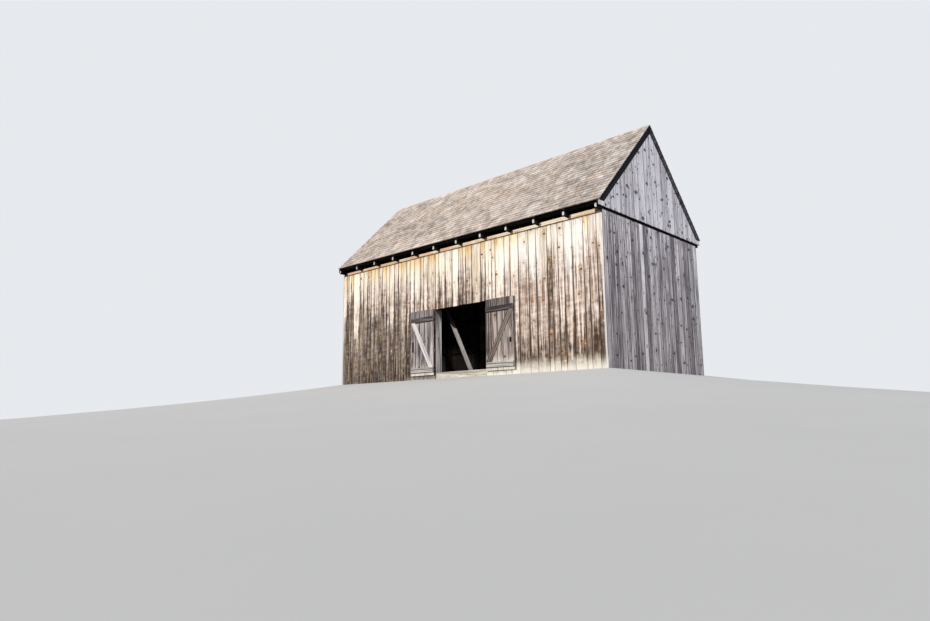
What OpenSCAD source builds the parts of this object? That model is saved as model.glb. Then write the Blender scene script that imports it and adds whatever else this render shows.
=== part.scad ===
// Weathered timber barn with a shingled gable roof and a double-leaf wagon door in its long front.
// X runs along the front, Y from the front to the back, Z up. The origin is on the ground under the middle.

/* [Barn] */
// Length along the front, over the boards
barn_l = 13400; // [11000:10:16000]
// Depth from front to back, over the boards
barn_w = 6600; // [5600:10:8000]
// Height of the joists' undersides above the ground
wall_h = 4920; // [4200:10:5600]
// Slope of the roof
roof_pitch = 45; // [38:1:50]

/* [Boards] */
// Thickness of the wall boards
board_t = 25; // [18:1:35]
// Height of bare wall plate that shows above the long walls' boards
plate_show = 50; // [20:5:120]
// How far the end walls' boards reach up over the end joists
end_lap = 25; // [10:5:60]
// Height of the open slot between the end walls and the gable boards
gable_slot = 45; // [20:5:70]
// How far the gable boards' back stands out past the end walls' boards
gable_proud = 25; // [0:1:40]
// Width of a rake board
rake_w = 175; // [60:5:220]
// Thickness of a rake board
rake_t = 28; // [15:1:35]
// Height of the rake boards' level-cut feet above the gable boards' lower ends
rake_foot = 180; // [60:5:260]

/* [Frame] */
// Side of a square sill
sill = 250; // [180:5:320]
// Side of a square corner post
corner_post = 250; // [180:5:320]
// Side of a square post between the corners
wall_post = 200; // [150:5:260]
// Posts between a corner and the doorway, on each side
side_posts = 2; // [1:1:4]
// Posts in each end wall between the corners
end_post_count = 2; // [1:1:4]
// Depth of a wall plate into the barn
plate_d = 200; // [150:5:260]
// Height of a wall plate
plate_h = 200; // [150:5:260]
// Height of a girt
girt_h = 120; // [80:5:180]
// Thickness of a girt
girt_t = 60; // [40:5:100]
// Middle of the lower girts above the ground
lower_girt = 1700; // [1200:10:2200]
// Middle of the upper girts above the ground
upper_girt = 3300; // [3050:10:3900]

/* [Joists and rafters] */
// Number of tie joists
joist_count = 12; // [9:1:14]
// Width of a joist
joist_w = 80; // [70:5:180]
// Height of a joist
joist_h = 160; // [120:5:220]
// How far a joist's end stands out past the long walls' boards
joist_out = 250; // [150:5:400]
// Width of a false plate, which lies on the joists' ends
false_plate_w = 200; // [140:5:220]
// Thickness of a false plate
false_plate_t = 50; // [30:5:80]
// Width of a rafter
rafter_w = 90; // [60:5:130]
// Depth of a rafter, measured plumb
rafter_up = 155; // [110:5:220]
// Underside of the collar ties above the ground
collar_z = 7150; // [6600:10:7600]
// Height of a collar tie
collar_h = 120; // [80:5:160]
// Width of a collar tie
collar_w = 60; // [40:5:90]
// Height of a rail behind the gable boards
rail_h = 120; // [80:5:160]
// Thickness of a rail behind the gable boards
rail_t = 80; // [45:5:110]
// Rails behind each gable's boards, with the one on the end joist
rail_count = 3; // [2:1:4]

/* [Roof] */
// Thickness of the lathing under the shingles
lath_t = 25; // [18:1:40]
// Thickness of the laid shingles
shingle_t = 35; // [20:1:50]
// How far the shingles reach past the end walls' boards
gable_out = 84; // [65:1:200]
// How far the shingles reach past the joists' ends
eave_out = 10; // [0:5:60]
// Room between a joist's end and the lathing above it
eave_seat = 40; // [5:1:60]
// Setback of the lathing from the shingles' edge at the gables
lath_setback = 15; // [5:1:30]
// Room between a false plate's edges and the lathing outside it and the rail inside it
false_plate_room = 10; // [5:1:30]

/* [Doorway] */
// Left side of the doorway, from the middle of the front
door_left = -745; // [-1500:5:-300]
// Width of the doorway
door_w = 2585; // [2000:5:3000]
// Underside of the door header above the ground
door_top = 2650; // [2300:10:2900]
// Width of a door post
door_post_w = 250; // [180:5:300]
// Depth of a door post into the barn
door_post_d = 300; // [250:5:340]
// Height of the door header
header_h = 200; // [140:5:260]
// Depth of the door header into the barn
header_d = 200; // [140:5:260]
// Thickness of a raking brace, along the front
brace_t = 120; // [80:5:160]
// Height of a raking brace, square to its length
brace_d = 130; // [100:5:200]
// Top of a raking brace on its post, above the ground
brace_top = 3450; // [2900:10:4000]
// Foot of a raking brace, from the inner face of its post
brace_foot = 1860; // [1200:10:2100]

/* [Door leaves] */
// Thickness of a leaf's boards
leaf_t = 25; // [18:1:35]
// Bottom of a leaf above the ground
leaf_bottom = 160; // [60:5:220]
// How far a leaf reaches up over the header's underside
leaf_lap = 30; // [10:5:80]
// Room between a closed leaf and the wall boards
leaf_gap = 12; // [6:1:30]
// Room between the two closed leaves
leaf_meet = 10; // [10:1:30]
// Thickness of the battens and the brace on a leaf
batten_t = 30; // [20:1:36]
// Height of a batten
batten_h = 180; // [120:5:220]
// Height of bare boards above a leaf's top batten
batten_top_end = 275; // [150:5:350]
// Height of bare boards below a leaf's bottom batten
batten_bottom_end = 120; // [60:5:250]
// Room between a batten's ends and the leaf's edges
batten_inset = 25; // [15:1:60]
// Width of the brace on a leaf
leaf_brace_w = 190; // [120:5:240]
// Width of the hand slot in a leaf
slot_w = 45; // [30:1:70]
// Height of the left leaf's hand slot
left_slot_h = 340; // [80:5:400]
// Height of the right leaf's hand slot
right_slot_h = 110; // [80:5:400]
// Middle of the left leaf's hand slot above the ground
left_slot_z = 1300; // [1100:10:1500]
// Middle of the right leaf's hand slot above the ground
right_slot_z = 1180; // [1050:10:1500]
// Distance of the left leaf's hand slot from its free edge
left_slot_in = 90; // [60:5:160]
// Distance of the right leaf's hand slot from its free edge
right_slot_in = 150; // [60:5:200]

/* [Hinges] */
// Radius of a hinge pin
pin_r = 7; // [5:0.5:9]
// Running clearance round a hinge pin
pin_clear = 0.5; // [0.3:0.1:0.8]
// Outer radius of a strap's eye
eye_r = 12; // [11:0.5:14]
// Thickness of a hinge strap
strap_t = 5; // [3:0.5:8]
// Height of a hinge strap
strap_h = 50; // [30:5:80]
// Length of a hinge strap from its pin
strap_l = 760; // [400:10:1000]
// Room between the hinge pin and the leaf's edge
edge_room = 15; // [14:1:25]
// Length of the plate that holds a hinge pin
pin_plate_l = 110; // [60:5:160]
// Height of the plate that holds a hinge pin
pin_plate_h = 60; // [40:5:100]
// Height of the arm that carries a hinge pin
arm_h = 14; // [10:1:24]
// Room between an eye and the arm under it
eye_seat = 1; // [0.5:0.5:3]

/* [Hidden] */

$fn = 48;

// The boards' outer faces and the frame's outer faces, as half lengths
half_l = barn_l / 2;
half_w = barn_w / 2;
frame_l = half_l - board_t;
frame_w = half_w - board_t;

// Heights
plate_z = wall_h - plate_h;
long_board_top = wall_h - plate_show;
end_board_top = wall_h + end_lap;
gable_z = end_board_top + gable_slot;
joist_top = wall_h + joist_h;
false_plate_top = joist_top + false_plate_t;
leaf_top = door_top + leaf_lap;
leaf_h = leaf_top - leaf_bottom;

// Gable boards and rake boards, as distances from the middle
gable_back = half_l + gable_proud;
gable_face = gable_back + board_t;

// Roof section: heights at a distance d outwards from the middle of the barn
rise = tan(roof_pitch);
eave_d = half_w + joist_out + eave_out;
lath_low = joist_top + eave_seat + joist_out * rise;
roof_t_up = (lath_t + shingle_t) / cos(roof_pitch);
function lath_under(d) = lath_low + (half_w - d) * rise;
function rafter_under(d) = lath_under(d) - rafter_up;
// The distance at which the rafters' undersides reach a height
function rafter_under_at(z) = half_w - (z + rafter_up - lath_low) / rise;
function lath_under_at(z) = half_w - (z - lath_low) / rise;

// Middles of the joists along the front
joist_end_x = frame_l - joist_w / 2;
joist_step = 2 * joist_end_x / (joist_count - 1);
joist_xs = [for (i = [0 : joist_count - 1]) -joist_end_x + i * joist_step];

// Middles of the rafters: over the joists, but the end ones carry the gable boards
rafter_end_x = gable_back - rafter_w / 2;
rafter_xs = concat([-rafter_end_x], [for (i = [1 : joist_count - 2]) joist_xs[i]], [rafter_end_x]);

// Doorway and its posts
door_right = door_left + door_w;
passage_xs = [door_left - door_post_w / 2, door_right + door_post_w / 2];
brace_xs = [door_left - brace_t / 2, door_right + brace_t / 2];
passage_inner_y = frame_w - door_post_d;

// Free ground between a corner post and a door post, cut into equal bays
left_bay_step = (door_left - door_post_w + frame_l - corner_post) / (side_posts + 1);
right_bay_step = (frame_l - corner_post - door_right - door_post_w) / (side_posts + 1);
left_post_xs = [for (i = [1 : side_posts]) round(-frame_l + corner_post + i * left_bay_step)];
right_post_xs = [for (i = [1 : side_posts]) round(door_right + door_post_w + i * right_bay_step)];
side_post_xs = concat(left_post_xs, right_post_xs);
end_bay_step = 2 * (frame_w - corner_post) / (end_post_count + 1);
end_post_ys = [for (i = [1 : end_post_count]) round(-frame_w + corner_post + i * end_bay_step)];

// Every post of a long wall as [low side, high side], in order, for the girts between them
long_spans = concat(
    [[-frame_l, -frame_l + corner_post]],
    [for (x = left_post_xs) [x - wall_post / 2, x + wall_post / 2]],
    [[door_left - door_post_w, door_left]],
    [[door_right, door_right + door_post_w]],
    [for (x = right_post_xs) [x - wall_post / 2, x + wall_post / 2]],
    [[frame_l - corner_post, frame_l]]
);
end_spans = concat(
    [[-frame_w, -frame_w + corner_post]],
    [for (y = end_post_ys) [y - wall_post / 2, y + wall_post / 2]],
    [[frame_w - corner_post, frame_w]]
);
// The bay of the long spans that holds the doorway
door_bay = side_posts + 1;

// Door leaves: the hinge line lies in the straps, outside the closed leaf's boards
hinge_out = leaf_gap + leaf_t + strap_t / 2;
hinge_y = -half_w - hinge_out;
left_hinge_x = door_left - edge_room;
right_hinge_x = door_right + edge_room;
leaf_w = door_w / 2 - leaf_meet / 2;
top_batten_z = leaf_top - batten_top_end - batten_h;
bottom_batten_z = leaf_bottom + batten_bottom_end;
strap_zs = [bottom_batten_z + batten_h / 2, top_batten_z + batten_h / 2];
eye_low = strap_h / 2;

// Colours of the real surfaces
old_frame = [0.42, 0.35, 0.28];
front_wood = [0.72, 0.60, 0.47];
shaded_wood = [0.58, 0.56, 0.57];
door_wood = [0.60, 0.55, 0.52];
shingle_wood = [0.66, 0.58, 0.51];
dark_wood = [0.16, 0.15, 0.17];
iron = [0.20, 0.17, 0.15];

// A box from one corner to the opposite one
module beam(low, high) {
    translate(low) cube(high - low);
}

// Copies its children at both signs of Y, turned round so that the front becomes the back
module front_and_back() {
    children();
    mirror([0, 1, 0]) children();
}

// Copies its children at both ends of the barn
module both_ends() {
    children();
    mirror([1, 0, 0]) children();
}

// A slab cut to an outline in the plane across the barn, with its middle at x
module cross_slab(x, thick, outline) {
    translate([x - thick / 2, 0, 0])
        rotate([90, 0, 90])
        linear_extrude(height = thick) polygon(outline);
}

// Sills

module front_sill() {
    color(old_frame) beam([-frame_l, -frame_w, 0], [frame_l, -frame_w + sill, sill]);
}

module back_sill() {
    color(old_frame) beam([-frame_l, frame_w - sill, 0], [frame_l, frame_w, sill]);
}

module end_sills() {
    color(old_frame) both_ends()
        beam([frame_l - sill, -frame_w + sill, 0], [frame_l, frame_w - sill, sill]);
}

module cross_sills() {
    color(old_frame) for (x = passage_xs)
        beam([x - door_post_w / 2, -frame_w + sill, 0], [x + door_post_w / 2, frame_w - sill, sill]);
}

// Posts

module wall_post_at(x, y, side, deep, top) {
    beam([x - side / 2, y - deep / 2, sill], [x + side / 2, y + deep / 2, top]);
}

module corner_posts() {
    color(old_frame) both_ends() front_and_back()
        wall_post_at(frame_l - corner_post / 2, -frame_w + corner_post / 2, corner_post, corner_post, plate_z);
}

module door_posts() {
    color(old_frame) for (x = passage_xs)
        wall_post_at(x, -frame_w + door_post_d / 2, door_post_w, door_post_d, plate_z);
}

module front_posts() {
    color(old_frame) for (x = side_post_xs)
        wall_post_at(x, -frame_w + wall_post / 2, wall_post, wall_post, plate_z);
}

module back_posts() {
    color(old_frame) {
        for (x = side_post_xs) wall_post_at(x, frame_w - wall_post / 2, wall_post, wall_post, plate_z);
        for (x = passage_xs) wall_post_at(x, frame_w - door_post_d / 2, door_post_w, door_post_d, plate_z);
    }
}

module end_posts() {
    color(old_frame) both_ends() for (y = end_post_ys)
        wall_post_at(frame_l - wall_post / 2, y, wall_post, wall_post, wall_h);
}

// Girts, which the wall boards are nailed to

module long_girt(bay, z) {
    beam([long_spans[bay][1], -frame_w, z - girt_h / 2], [long_spans[bay + 1][0], -frame_w + girt_t, z + girt_h / 2]);
}

module front_girts() {
    color(old_frame) for (bay = [0 : len(long_spans) - 2]) {
        if (bay != door_bay) long_girt(bay, lower_girt);
        long_girt(bay, upper_girt);
    }
}

module back_girts() {
    color(old_frame) mirror([0, 1, 0]) for (bay = [0 : len(long_spans) - 2]) {
        long_girt(bay, lower_girt);
        long_girt(bay, upper_girt);
    }
}

module end_girts() {
    color(old_frame) both_ends() for (bay = [0 : len(end_spans) - 2], z = [lower_girt, upper_girt])
        beam([frame_l - girt_t, end_spans[bay][1], z - girt_h / 2], [frame_l, end_spans[bay + 1][0], z + girt_h / 2]);
}

// Doorway frame

module door_header() {
    color(old_frame) beam([door_left, -frame_w, door_top], [door_right, -frame_w + header_d, door_top + header_h]);
}

// One brace from a post's inner face down to the cross sill, with its ends cut to fit both.
// The braces stand flush with the doorway side of their posts.
module raking_brace(x) {
    slope = atan((brace_top - sill) / brace_foot);
    top_cut = brace_d / cos(slope);
    foot_cut = brace_d / sin(slope);
    cross_slab(x, brace_t, [
        [-passage_inner_y, brace_top],
        [-passage_inner_y, brace_top - top_cut],
        [-passage_inner_y + brace_foot - foot_cut, sill],
        [-passage_inner_y + brace_foot, sill]
    ]);
}

module raking_braces() {
    color(old_frame) for (x = brace_xs) front_and_back() raking_brace(x);
}

// Plates and joists

module wall_plates() {
    color(front_wood) front_and_back()
        beam([-frame_l, -frame_w, plate_z], [frame_l, -frame_w + plate_d, wall_h]);
}

module tie_joists() {
    color(old_frame) for (x = joist_xs)
        beam([x - joist_w / 2, -half_w - joist_out, wall_h], [x + joist_w / 2, half_w + joist_out, joist_top]);
}

// The false plates lie under the rafters' feet, just inside the lathing
false_plate_out = lath_under_at(false_plate_top) - false_plate_room;

module false_plates() {
    color(old_frame) front_and_back()
        beam([-gable_back, -false_plate_out, joist_top], [gable_back, -false_plate_out + false_plate_w, false_plate_top]);
}

// Rafters

module front_rafter(x) {
    cross_slab(x, rafter_w, [
        [-lath_under_at(false_plate_top), false_plate_top],
        [-rafter_under_at(false_plate_top), false_plate_top],
        [0, rafter_under(0)],
        [0, lath_under(0)]
    ]);
}

module front_rafters() {
    color(old_frame) for (x = rafter_xs) front_rafter(x);
}

module back_rafters() {
    color(old_frame) mirror([0, 1, 0]) for (x = rafter_xs) front_rafter(x);
}

// A level piece cut to fit between the two rafters of a pair
module between_rafters(x, thick, low, tall) {
    wide = rafter_under_at(low);
    narrow = rafter_under_at(low + tall);
    cross_slab(x, thick, [[-wide, low], [wide, low], [narrow, low + tall], [-narrow, low + tall]]);
}

module collar_ties() {
    color(old_frame) for (i = [1 : joist_count - 2]) between_rafters(rafter_xs[i], collar_w, collar_z, collar_h);
}

// The lowest rail lies on the end joist between the false plates, clear of the rafters' feet
module gable_rails() {
    foot_room = false_plate_out - false_plate_w - false_plate_room;
    foot_half = min(foot_room, rafter_under_at(joist_top + rail_h));
    step = round((rafter_under(0) - joist_top) / (rail_count + 1));
    color(old_frame) both_ends() {
        beam([gable_back - rail_t, -foot_half, joist_top], [gable_back, foot_half, joist_top + rail_h]);
        for (i = [1 : rail_count - 1])
            between_rafters(gable_back - rail_t / 2, rail_t, joist_top + i * step, rail_h);
    }
}

// Roof covering: one slope's layer between two depths under the shingles' face, its eave end cut square
module front_layer(top_depth, bottom_depth, reach) {
    face_low = lath_under(eave_d) + roof_t_up;
    face_ridge = lath_under(0) + roof_t_up;
    run = sin(roof_pitch);
    fall = cos(roof_pitch);
    cross_slab(0, 2 * reach, [
        [-eave_d + top_depth * run, face_low - top_depth * fall],
        [-eave_d + bottom_depth * run, face_low - bottom_depth * fall],
        [0, face_ridge - bottom_depth / fall],
        [0, face_ridge - top_depth / fall]
    ]);
}

module front_shingles() {
    color(shingle_wood) front_layer(0, shingle_t, half_l + gable_out);
}

module back_shingles() {
    color(shingle_wood) mirror([0, 1, 0]) front_layer(0, shingle_t, half_l + gable_out);
}

module front_lathing() {
    color(dark_wood) front_layer(shingle_t, shingle_t + lath_t, half_l + gable_out - lath_setback);
}

module back_lathing() {
    color(dark_wood) mirror([0, 1, 0]) front_layer(shingle_t, shingle_t + lath_t, half_l + gable_out - lath_setback);
}

// Wall boards

module front_left_boards() {
    color(front_wood) beam([-half_l, -half_w, 0], [door_left, -frame_w, long_board_top]);
}

module front_right_boards() {
    color(front_wood) beam([door_right, -half_w, 0], [half_l, -frame_w, long_board_top]);
}

module over_door_boards() {
    color(front_wood) beam([door_left, -half_w, door_top], [door_right, -frame_w, long_board_top]);
}

module back_boards() {
    color(front_wood) beam([-half_l, frame_w, 0], [half_l, half_w, long_board_top]);
}

module end_boards() {
    beam([frame_l, -frame_w, 0], [half_l, frame_w, end_board_top]);
}

module left_end_boards() {
    color(shaded_wood) mirror([1, 0, 0]) end_boards();
}

module right_end_boards() {
    color(shaded_wood) end_boards();
}

// Gable boards and rake boards

gable_tip = half_w + joist_out - eave_out;
gable_outline = [
    [-gable_tip, gable_z],
    [gable_tip, gable_z],
    [gable_tip, lath_under(gable_tip)],
    [0, lath_under(0)],
    [-gable_tip, lath_under(gable_tip)]
];

module gable_boards() {
    cross_slab(gable_back + board_t / 2, board_t, gable_outline);
}

module left_gable_boards() {
    color(shaded_wood) mirror([1, 0, 0]) gable_boards();
}

module right_gable_boards() {
    color(shaded_wood) gable_boards();
}

// The pair of rake boards of one gable: the gable's outline without the same outline lowered by their width,
// cut off level at the feet
module rake_boards() {
    drop = rake_w / cos(roof_pitch);
    difference() {
        cross_slab(gable_face + rake_t / 2, rake_t, gable_outline);
        cross_slab(gable_face + rake_t / 2, 2 * rake_t, [
            [-2 * eave_d, lath_under(2 * eave_d) - drop],
            [2 * eave_d, lath_under(2 * eave_d) - drop],
            [0, lath_under(0) - drop]
        ]);
        beam([gable_face - rake_t, -eave_d, 0], [gable_face + 2 * rake_t, eave_d, gable_z + rake_foot]);
    }
}

module left_rake_boards() {
    color(dark_wood) mirror([1, 0, 0]) rake_boards();
}

module right_rake_boards() {
    color(dark_wood) rake_boards();
}

// Door leaves, drawn open. A leaf's own frame has its hinge line at zero, X towards its free edge
// and Y towards the wall behind the open leaf; the left leaf is the right one's mirror image.

module right_leaf_place() {
    translate([right_hinge_x, hinge_y, 0]) children();
}

module left_leaf_place() {
    translate([left_hinge_x, hinge_y, 0]) mirror([1, 0, 0]) children();
}

board_near = edge_room;
board_far = edge_room + leaf_w;
board_back = -strap_t / 2;
board_front = board_back - leaf_t;
batten_front = board_front - batten_t;

module leaf_boards(slot_in, slot_z, slot_h) {
    difference() {
        beam([board_near, board_front, leaf_bottom], [board_far, board_back, leaf_top]);
        beam(
            [board_far - slot_in - slot_w, board_front - leaf_t, slot_z - slot_h / 2],
            [board_far - slot_in, board_back + leaf_t, slot_z + slot_h / 2]
        );
    }
}

module leaf_battens() {
    for (z = [bottom_batten_z, top_batten_z])
        beam([board_near + batten_inset, batten_front, z], [board_far - batten_inset, board_front, z + batten_h]);
}

// The brace rises from the hinge side to the free edge, between the battens
module leaf_brace() {
    low = bottom_batten_z + batten_h;
    near = board_near + batten_inset;
    far = board_far - batten_inset;
    lean = atan((far - near - leaf_brace_w) / (top_batten_z - low));
    level_w = leaf_brace_w / cos(lean);
    translate([0, board_front, 0]) rotate([90, 0, 0]) linear_extrude(height = batten_t)
        polygon([[near, low], [near + level_w, low], [far, top_batten_z], [far - level_w, top_batten_z]]);
}

module leaf_straps() {
    for (z = strap_zs) translate([0, 0, z]) difference() {
        union() {
            translate([0, 0, -strap_h / 2]) cylinder(h = strap_h, r = eye_r);
            beam([0, -strap_t / 2, -strap_h / 2], [strap_l, strap_t / 2, strap_h / 2]);
        }
        translate([0, 0, -strap_h]) cylinder(h = 2 * strap_h, r = pin_r + pin_clear);
    }
}

// The pins stand on arms from plates on the wall boards, just outside the doorway
module leaf_pintles() {
    for (z = strap_zs) translate([0, 0, z - eye_low - eye_seat - arm_h]) {
        beam([-pin_r, 0, 0], [pin_r, hinge_out, arm_h]);
        cylinder(h = arm_h + eye_seat + strap_h, r = pin_r);
        beam(
            [-pin_r, hinge_out - strap_t, (arm_h - pin_plate_h) / 2],
            [pin_plate_l, hinge_out, (arm_h + pin_plate_h) / 2]
        );
    }
}

module left_door_boards() {
    color(door_wood) left_leaf_place() leaf_boards(left_slot_in, left_slot_z, left_slot_h);
}

module left_door_battens() {
    color(door_wood) left_leaf_place() leaf_battens();
}

module left_door_brace() {
    color(shingle_wood) left_leaf_place() leaf_brace();
}

module left_door_straps() {
    color(iron) left_leaf_place() leaf_straps();
}

module right_door_boards() {
    color(door_wood) right_leaf_place() leaf_boards(right_slot_in, right_slot_z, right_slot_h);
}

module right_door_battens() {
    color(door_wood) right_leaf_place() leaf_battens();
}

module right_door_brace() {
    color(shingle_wood) right_leaf_place() leaf_brace();
}

module right_door_straps() {
    color(iron) right_leaf_place() leaf_straps();
}

module left_door_pintles() {
    color(iron) left_leaf_place() leaf_pintles();
}

module right_door_pintles() {
    color(iron) right_leaf_place() leaf_pintles();
}

front_sill();
back_sill();
end_sills();
cross_sills();
corner_posts();
door_posts();
front_posts();
back_posts();
end_posts();
front_girts();
back_girts();
end_girts();
door_header();
raking_braces();
wall_plates();
tie_joists();
false_plates();
front_rafters();
back_rafters();
collar_ties();
gable_rails();
front_lathing();
back_lathing();
front_shingles();
back_shingles();
front_left_boards();
front_right_boards();
over_door_boards();
back_boards();
left_end_boards();
right_end_boards();
left_gable_boards();
right_gable_boards();
left_rake_boards();
right_rake_boards();
left_door_boards();
left_door_battens();
left_door_brace();
left_door_straps();
right_door_boards();
right_door_battens();
right_door_brace();
right_door_straps();
left_door_pintles();
right_door_pintles();
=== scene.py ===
# %% [markdown]
# # A weathered timber barn, dressed board by board
# The barn comes in as a fixed frame of plain solids: slabs for the walls and the roof, and square
# timbers. This lesson dresses it. Each wall slab becomes a row of single planks, each roof slab a
# few thousand split shingles, and every beam gets worn edges and a grain that follows its length.
# Nothing is moved: each new piece is built where the solid that it stands for is.

# %% Load the frame
import math
import random
from types import SimpleNamespace

import bmesh
import bpy
from mathutils import Matrix, Vector, noise


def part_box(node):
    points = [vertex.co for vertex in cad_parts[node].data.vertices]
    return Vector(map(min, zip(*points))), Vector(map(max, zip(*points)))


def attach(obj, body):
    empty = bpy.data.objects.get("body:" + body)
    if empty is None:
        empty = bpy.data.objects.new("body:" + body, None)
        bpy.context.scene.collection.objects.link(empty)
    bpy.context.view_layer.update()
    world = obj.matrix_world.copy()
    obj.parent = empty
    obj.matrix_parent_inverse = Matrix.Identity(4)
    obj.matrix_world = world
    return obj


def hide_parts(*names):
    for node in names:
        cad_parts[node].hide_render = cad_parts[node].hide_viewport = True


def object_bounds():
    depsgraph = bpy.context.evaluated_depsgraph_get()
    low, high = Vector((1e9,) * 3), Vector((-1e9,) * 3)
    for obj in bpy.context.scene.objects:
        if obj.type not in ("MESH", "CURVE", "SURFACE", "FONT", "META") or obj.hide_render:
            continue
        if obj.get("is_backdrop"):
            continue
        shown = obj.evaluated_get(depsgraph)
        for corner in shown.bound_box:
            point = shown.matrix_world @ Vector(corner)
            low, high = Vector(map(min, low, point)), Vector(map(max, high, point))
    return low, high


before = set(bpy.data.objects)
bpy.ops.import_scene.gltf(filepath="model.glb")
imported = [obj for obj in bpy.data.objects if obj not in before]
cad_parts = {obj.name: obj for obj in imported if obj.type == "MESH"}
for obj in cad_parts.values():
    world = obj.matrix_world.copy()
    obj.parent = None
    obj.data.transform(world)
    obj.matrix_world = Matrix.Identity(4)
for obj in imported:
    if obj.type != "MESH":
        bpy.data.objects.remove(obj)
cad_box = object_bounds()
print("barn box:", [round(c, 3) for corner in cad_box for c in corner])

# %% [markdown]
# ## The camera
# The barn stands on a rise and is seen from lower ground, off its right front corner, with a wide
# lens that looks slightly up. The numbers come from matching the corners of the walls and the roof.
# A camera looks along its own -Z, so its matrix is built from three directions: right, up and back.

# %% Place the camera
EYE = Vector((16.994, -20.2, -1.3206))
YAW, PITCH, ROLL = 0.7636, 0.1589, 0.0094

turn = (
    Matrix.Rotation(YAW, 3, "Z")
    @ Matrix.Rotation(PITCH, 3, "X")
    @ Matrix.Rotation(ROLL, 3, "Y")
)
right, ahead, up = turn.col
camera = bpy.data.objects.new("camera", bpy.data.cameras.new("camera"))
camera.data.lens = 25.16
camera.data.sensor_width = 36
camera.data.clip_end = 500
camera.matrix_world = Matrix.Translation(EYE) @ Matrix((right, up, -ahead)).transposed().to_4x4()
bpy.context.scene.collection.objects.link(camera)
bpy.context.scene.camera = camera
print("camera to the near corner:", round((EYE - Vector((6.7, -3.3, 0))).length, 2), "m")

# %% [markdown]
# ## The light
# Bare wood looks best in low, soft daylight. A wide lamp low in front, a little from the left,
# lights the long front and the roof, and is low enough to reach in under the eave. A second one
# from the right lights the end wall. Neither gets far into the doorway, so a soft spotlight shines
# through it on the brace inside. A pale world fills the rest. Together they add up to about one on
# the front, so that a colour renders about as it is written. What the camera sees of the sky may be
# paler than the light it gives, so Light Path picks between the two.

# %% Set the lamps and the world
def lamp(name, towards, strength, degrees, colour):
    """A sun lamp that shines from the direction towards, as wide as the given angle."""
    light = bpy.data.lights.new(name, "SUN")
    light.energy = strength
    light.angle = math.radians(degrees)
    light.color = colour
    obj = bpy.data.objects.new(name, light)
    obj.matrix_world = Vector(towards).to_track_quat("Z", "Y").to_matrix().to_4x4()
    bpy.context.scene.collection.objects.link(obj)
    return obj


lamp("key_lamp", (-0.24, -0.88, 0.31), 2.7, 5, (1.0, 0.965, 0.91))
lamp("side_lamp", (0.93, -0.24, 0.31), 1.6, 6, (0.94, 0.96, 1.0))

BRACE_MIDDLE, TO_SPOT = Vector((-0.8, -2.05, 1.2)), Vector((0.73, -0.67, 0.12))
spot = bpy.data.lights.new("door_lamp", "SPOT")
spot.energy = 3500
spot.spot_size, spot.spot_blend, spot.shadow_soft_size = math.radians(10), 0.3, 0.3
spot = bpy.data.objects.new("door_lamp", spot)
stand = TO_SPOT.to_track_quat("Z", "Y").to_matrix().to_4x4()
spot.matrix_world = Matrix.Translation(BRACE_MIDDLE + TO_SPOT * 12.4) @ stand
bpy.context.scene.collection.objects.link(spot)
world = bpy.data.worlds.new("studio")
bpy.context.scene.world = world
world.use_nodes = True
bpy.context.scene.view_settings.view_transform = "Standard"

# %% [markdown]
# ## A little language for finishes
# A shader graph is a sum, so it reads best as one. `Tap` wraps an output socket and turns Python's
# +, -, * and so on into Math nodes. The reflected forms (`__rsub__` and the like) are what make
# `1 - mask` work, where the plain number stands first. `Finish` holds one material, and every node
# that isn't a Math node comes from its method `node`. A finish is built up like paint: `colour` is
# what is on the wood so far, and `coat` lays the next colour over it where a mask says so.

# %% Define Tap and Finish
def feed(socket, value):
    """Links a tap to a socket, or writes a plain value on it."""
    if isinstance(value, Tap):
        socket.id_data.links.new(value.socket, socket)
    elif isinstance(value, tuple) and len(value) == 3 and socket.type == "RGBA":
        socket.default_value = (*value, 1)
    else:
        socket.default_value = value


def find(sockets, key):
    """The socket with that place, identifier or name."""
    if isinstance(key, int):
        return sockets[key]
    return next(s for s in sockets if key in (s.identifier, s.name) and s.enabled)


def operator(operation, reflected=False):
    """A method that makes a Math node of a tap and what comes after it, or before if reflected."""
    if reflected:
        return lambda self, other: self.reckon(operation, other, self)
    return lambda self, *others: self.reckon(operation, self, *others)


class Tap:
    """An output socket that adds a Math node when Python reckons with it."""

    __add__, __radd__ = operator("ADD"), operator("ADD", True)
    __sub__, __rsub__ = operator("SUBTRACT"), operator("SUBTRACT", True)
    __mul__, __rmul__ = operator("MULTIPLY"), operator("MULTIPLY", True)
    __truediv__, __pow__, __mod__ = operator("DIVIDE"), operator("POWER"), operator("MODULO")
    __abs__, sine, most = operator("ABSOLUTE"), operator("SINE"), operator("MAXIMUM")

    def __init__(self, socket):
        self.socket = socket

    def reckon(self, operation, *values):
        node = self.socket.id_data.nodes.new("ShaderNodeMath")
        node.operation = operation
        for place, value in zip(node.inputs, values):
            feed(place, value)
        return Tap(node.outputs[0])

    def other(self, name):
        """Another output of the same node."""
        return Tap(find(self.socket.node.outputs, name))


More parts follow.
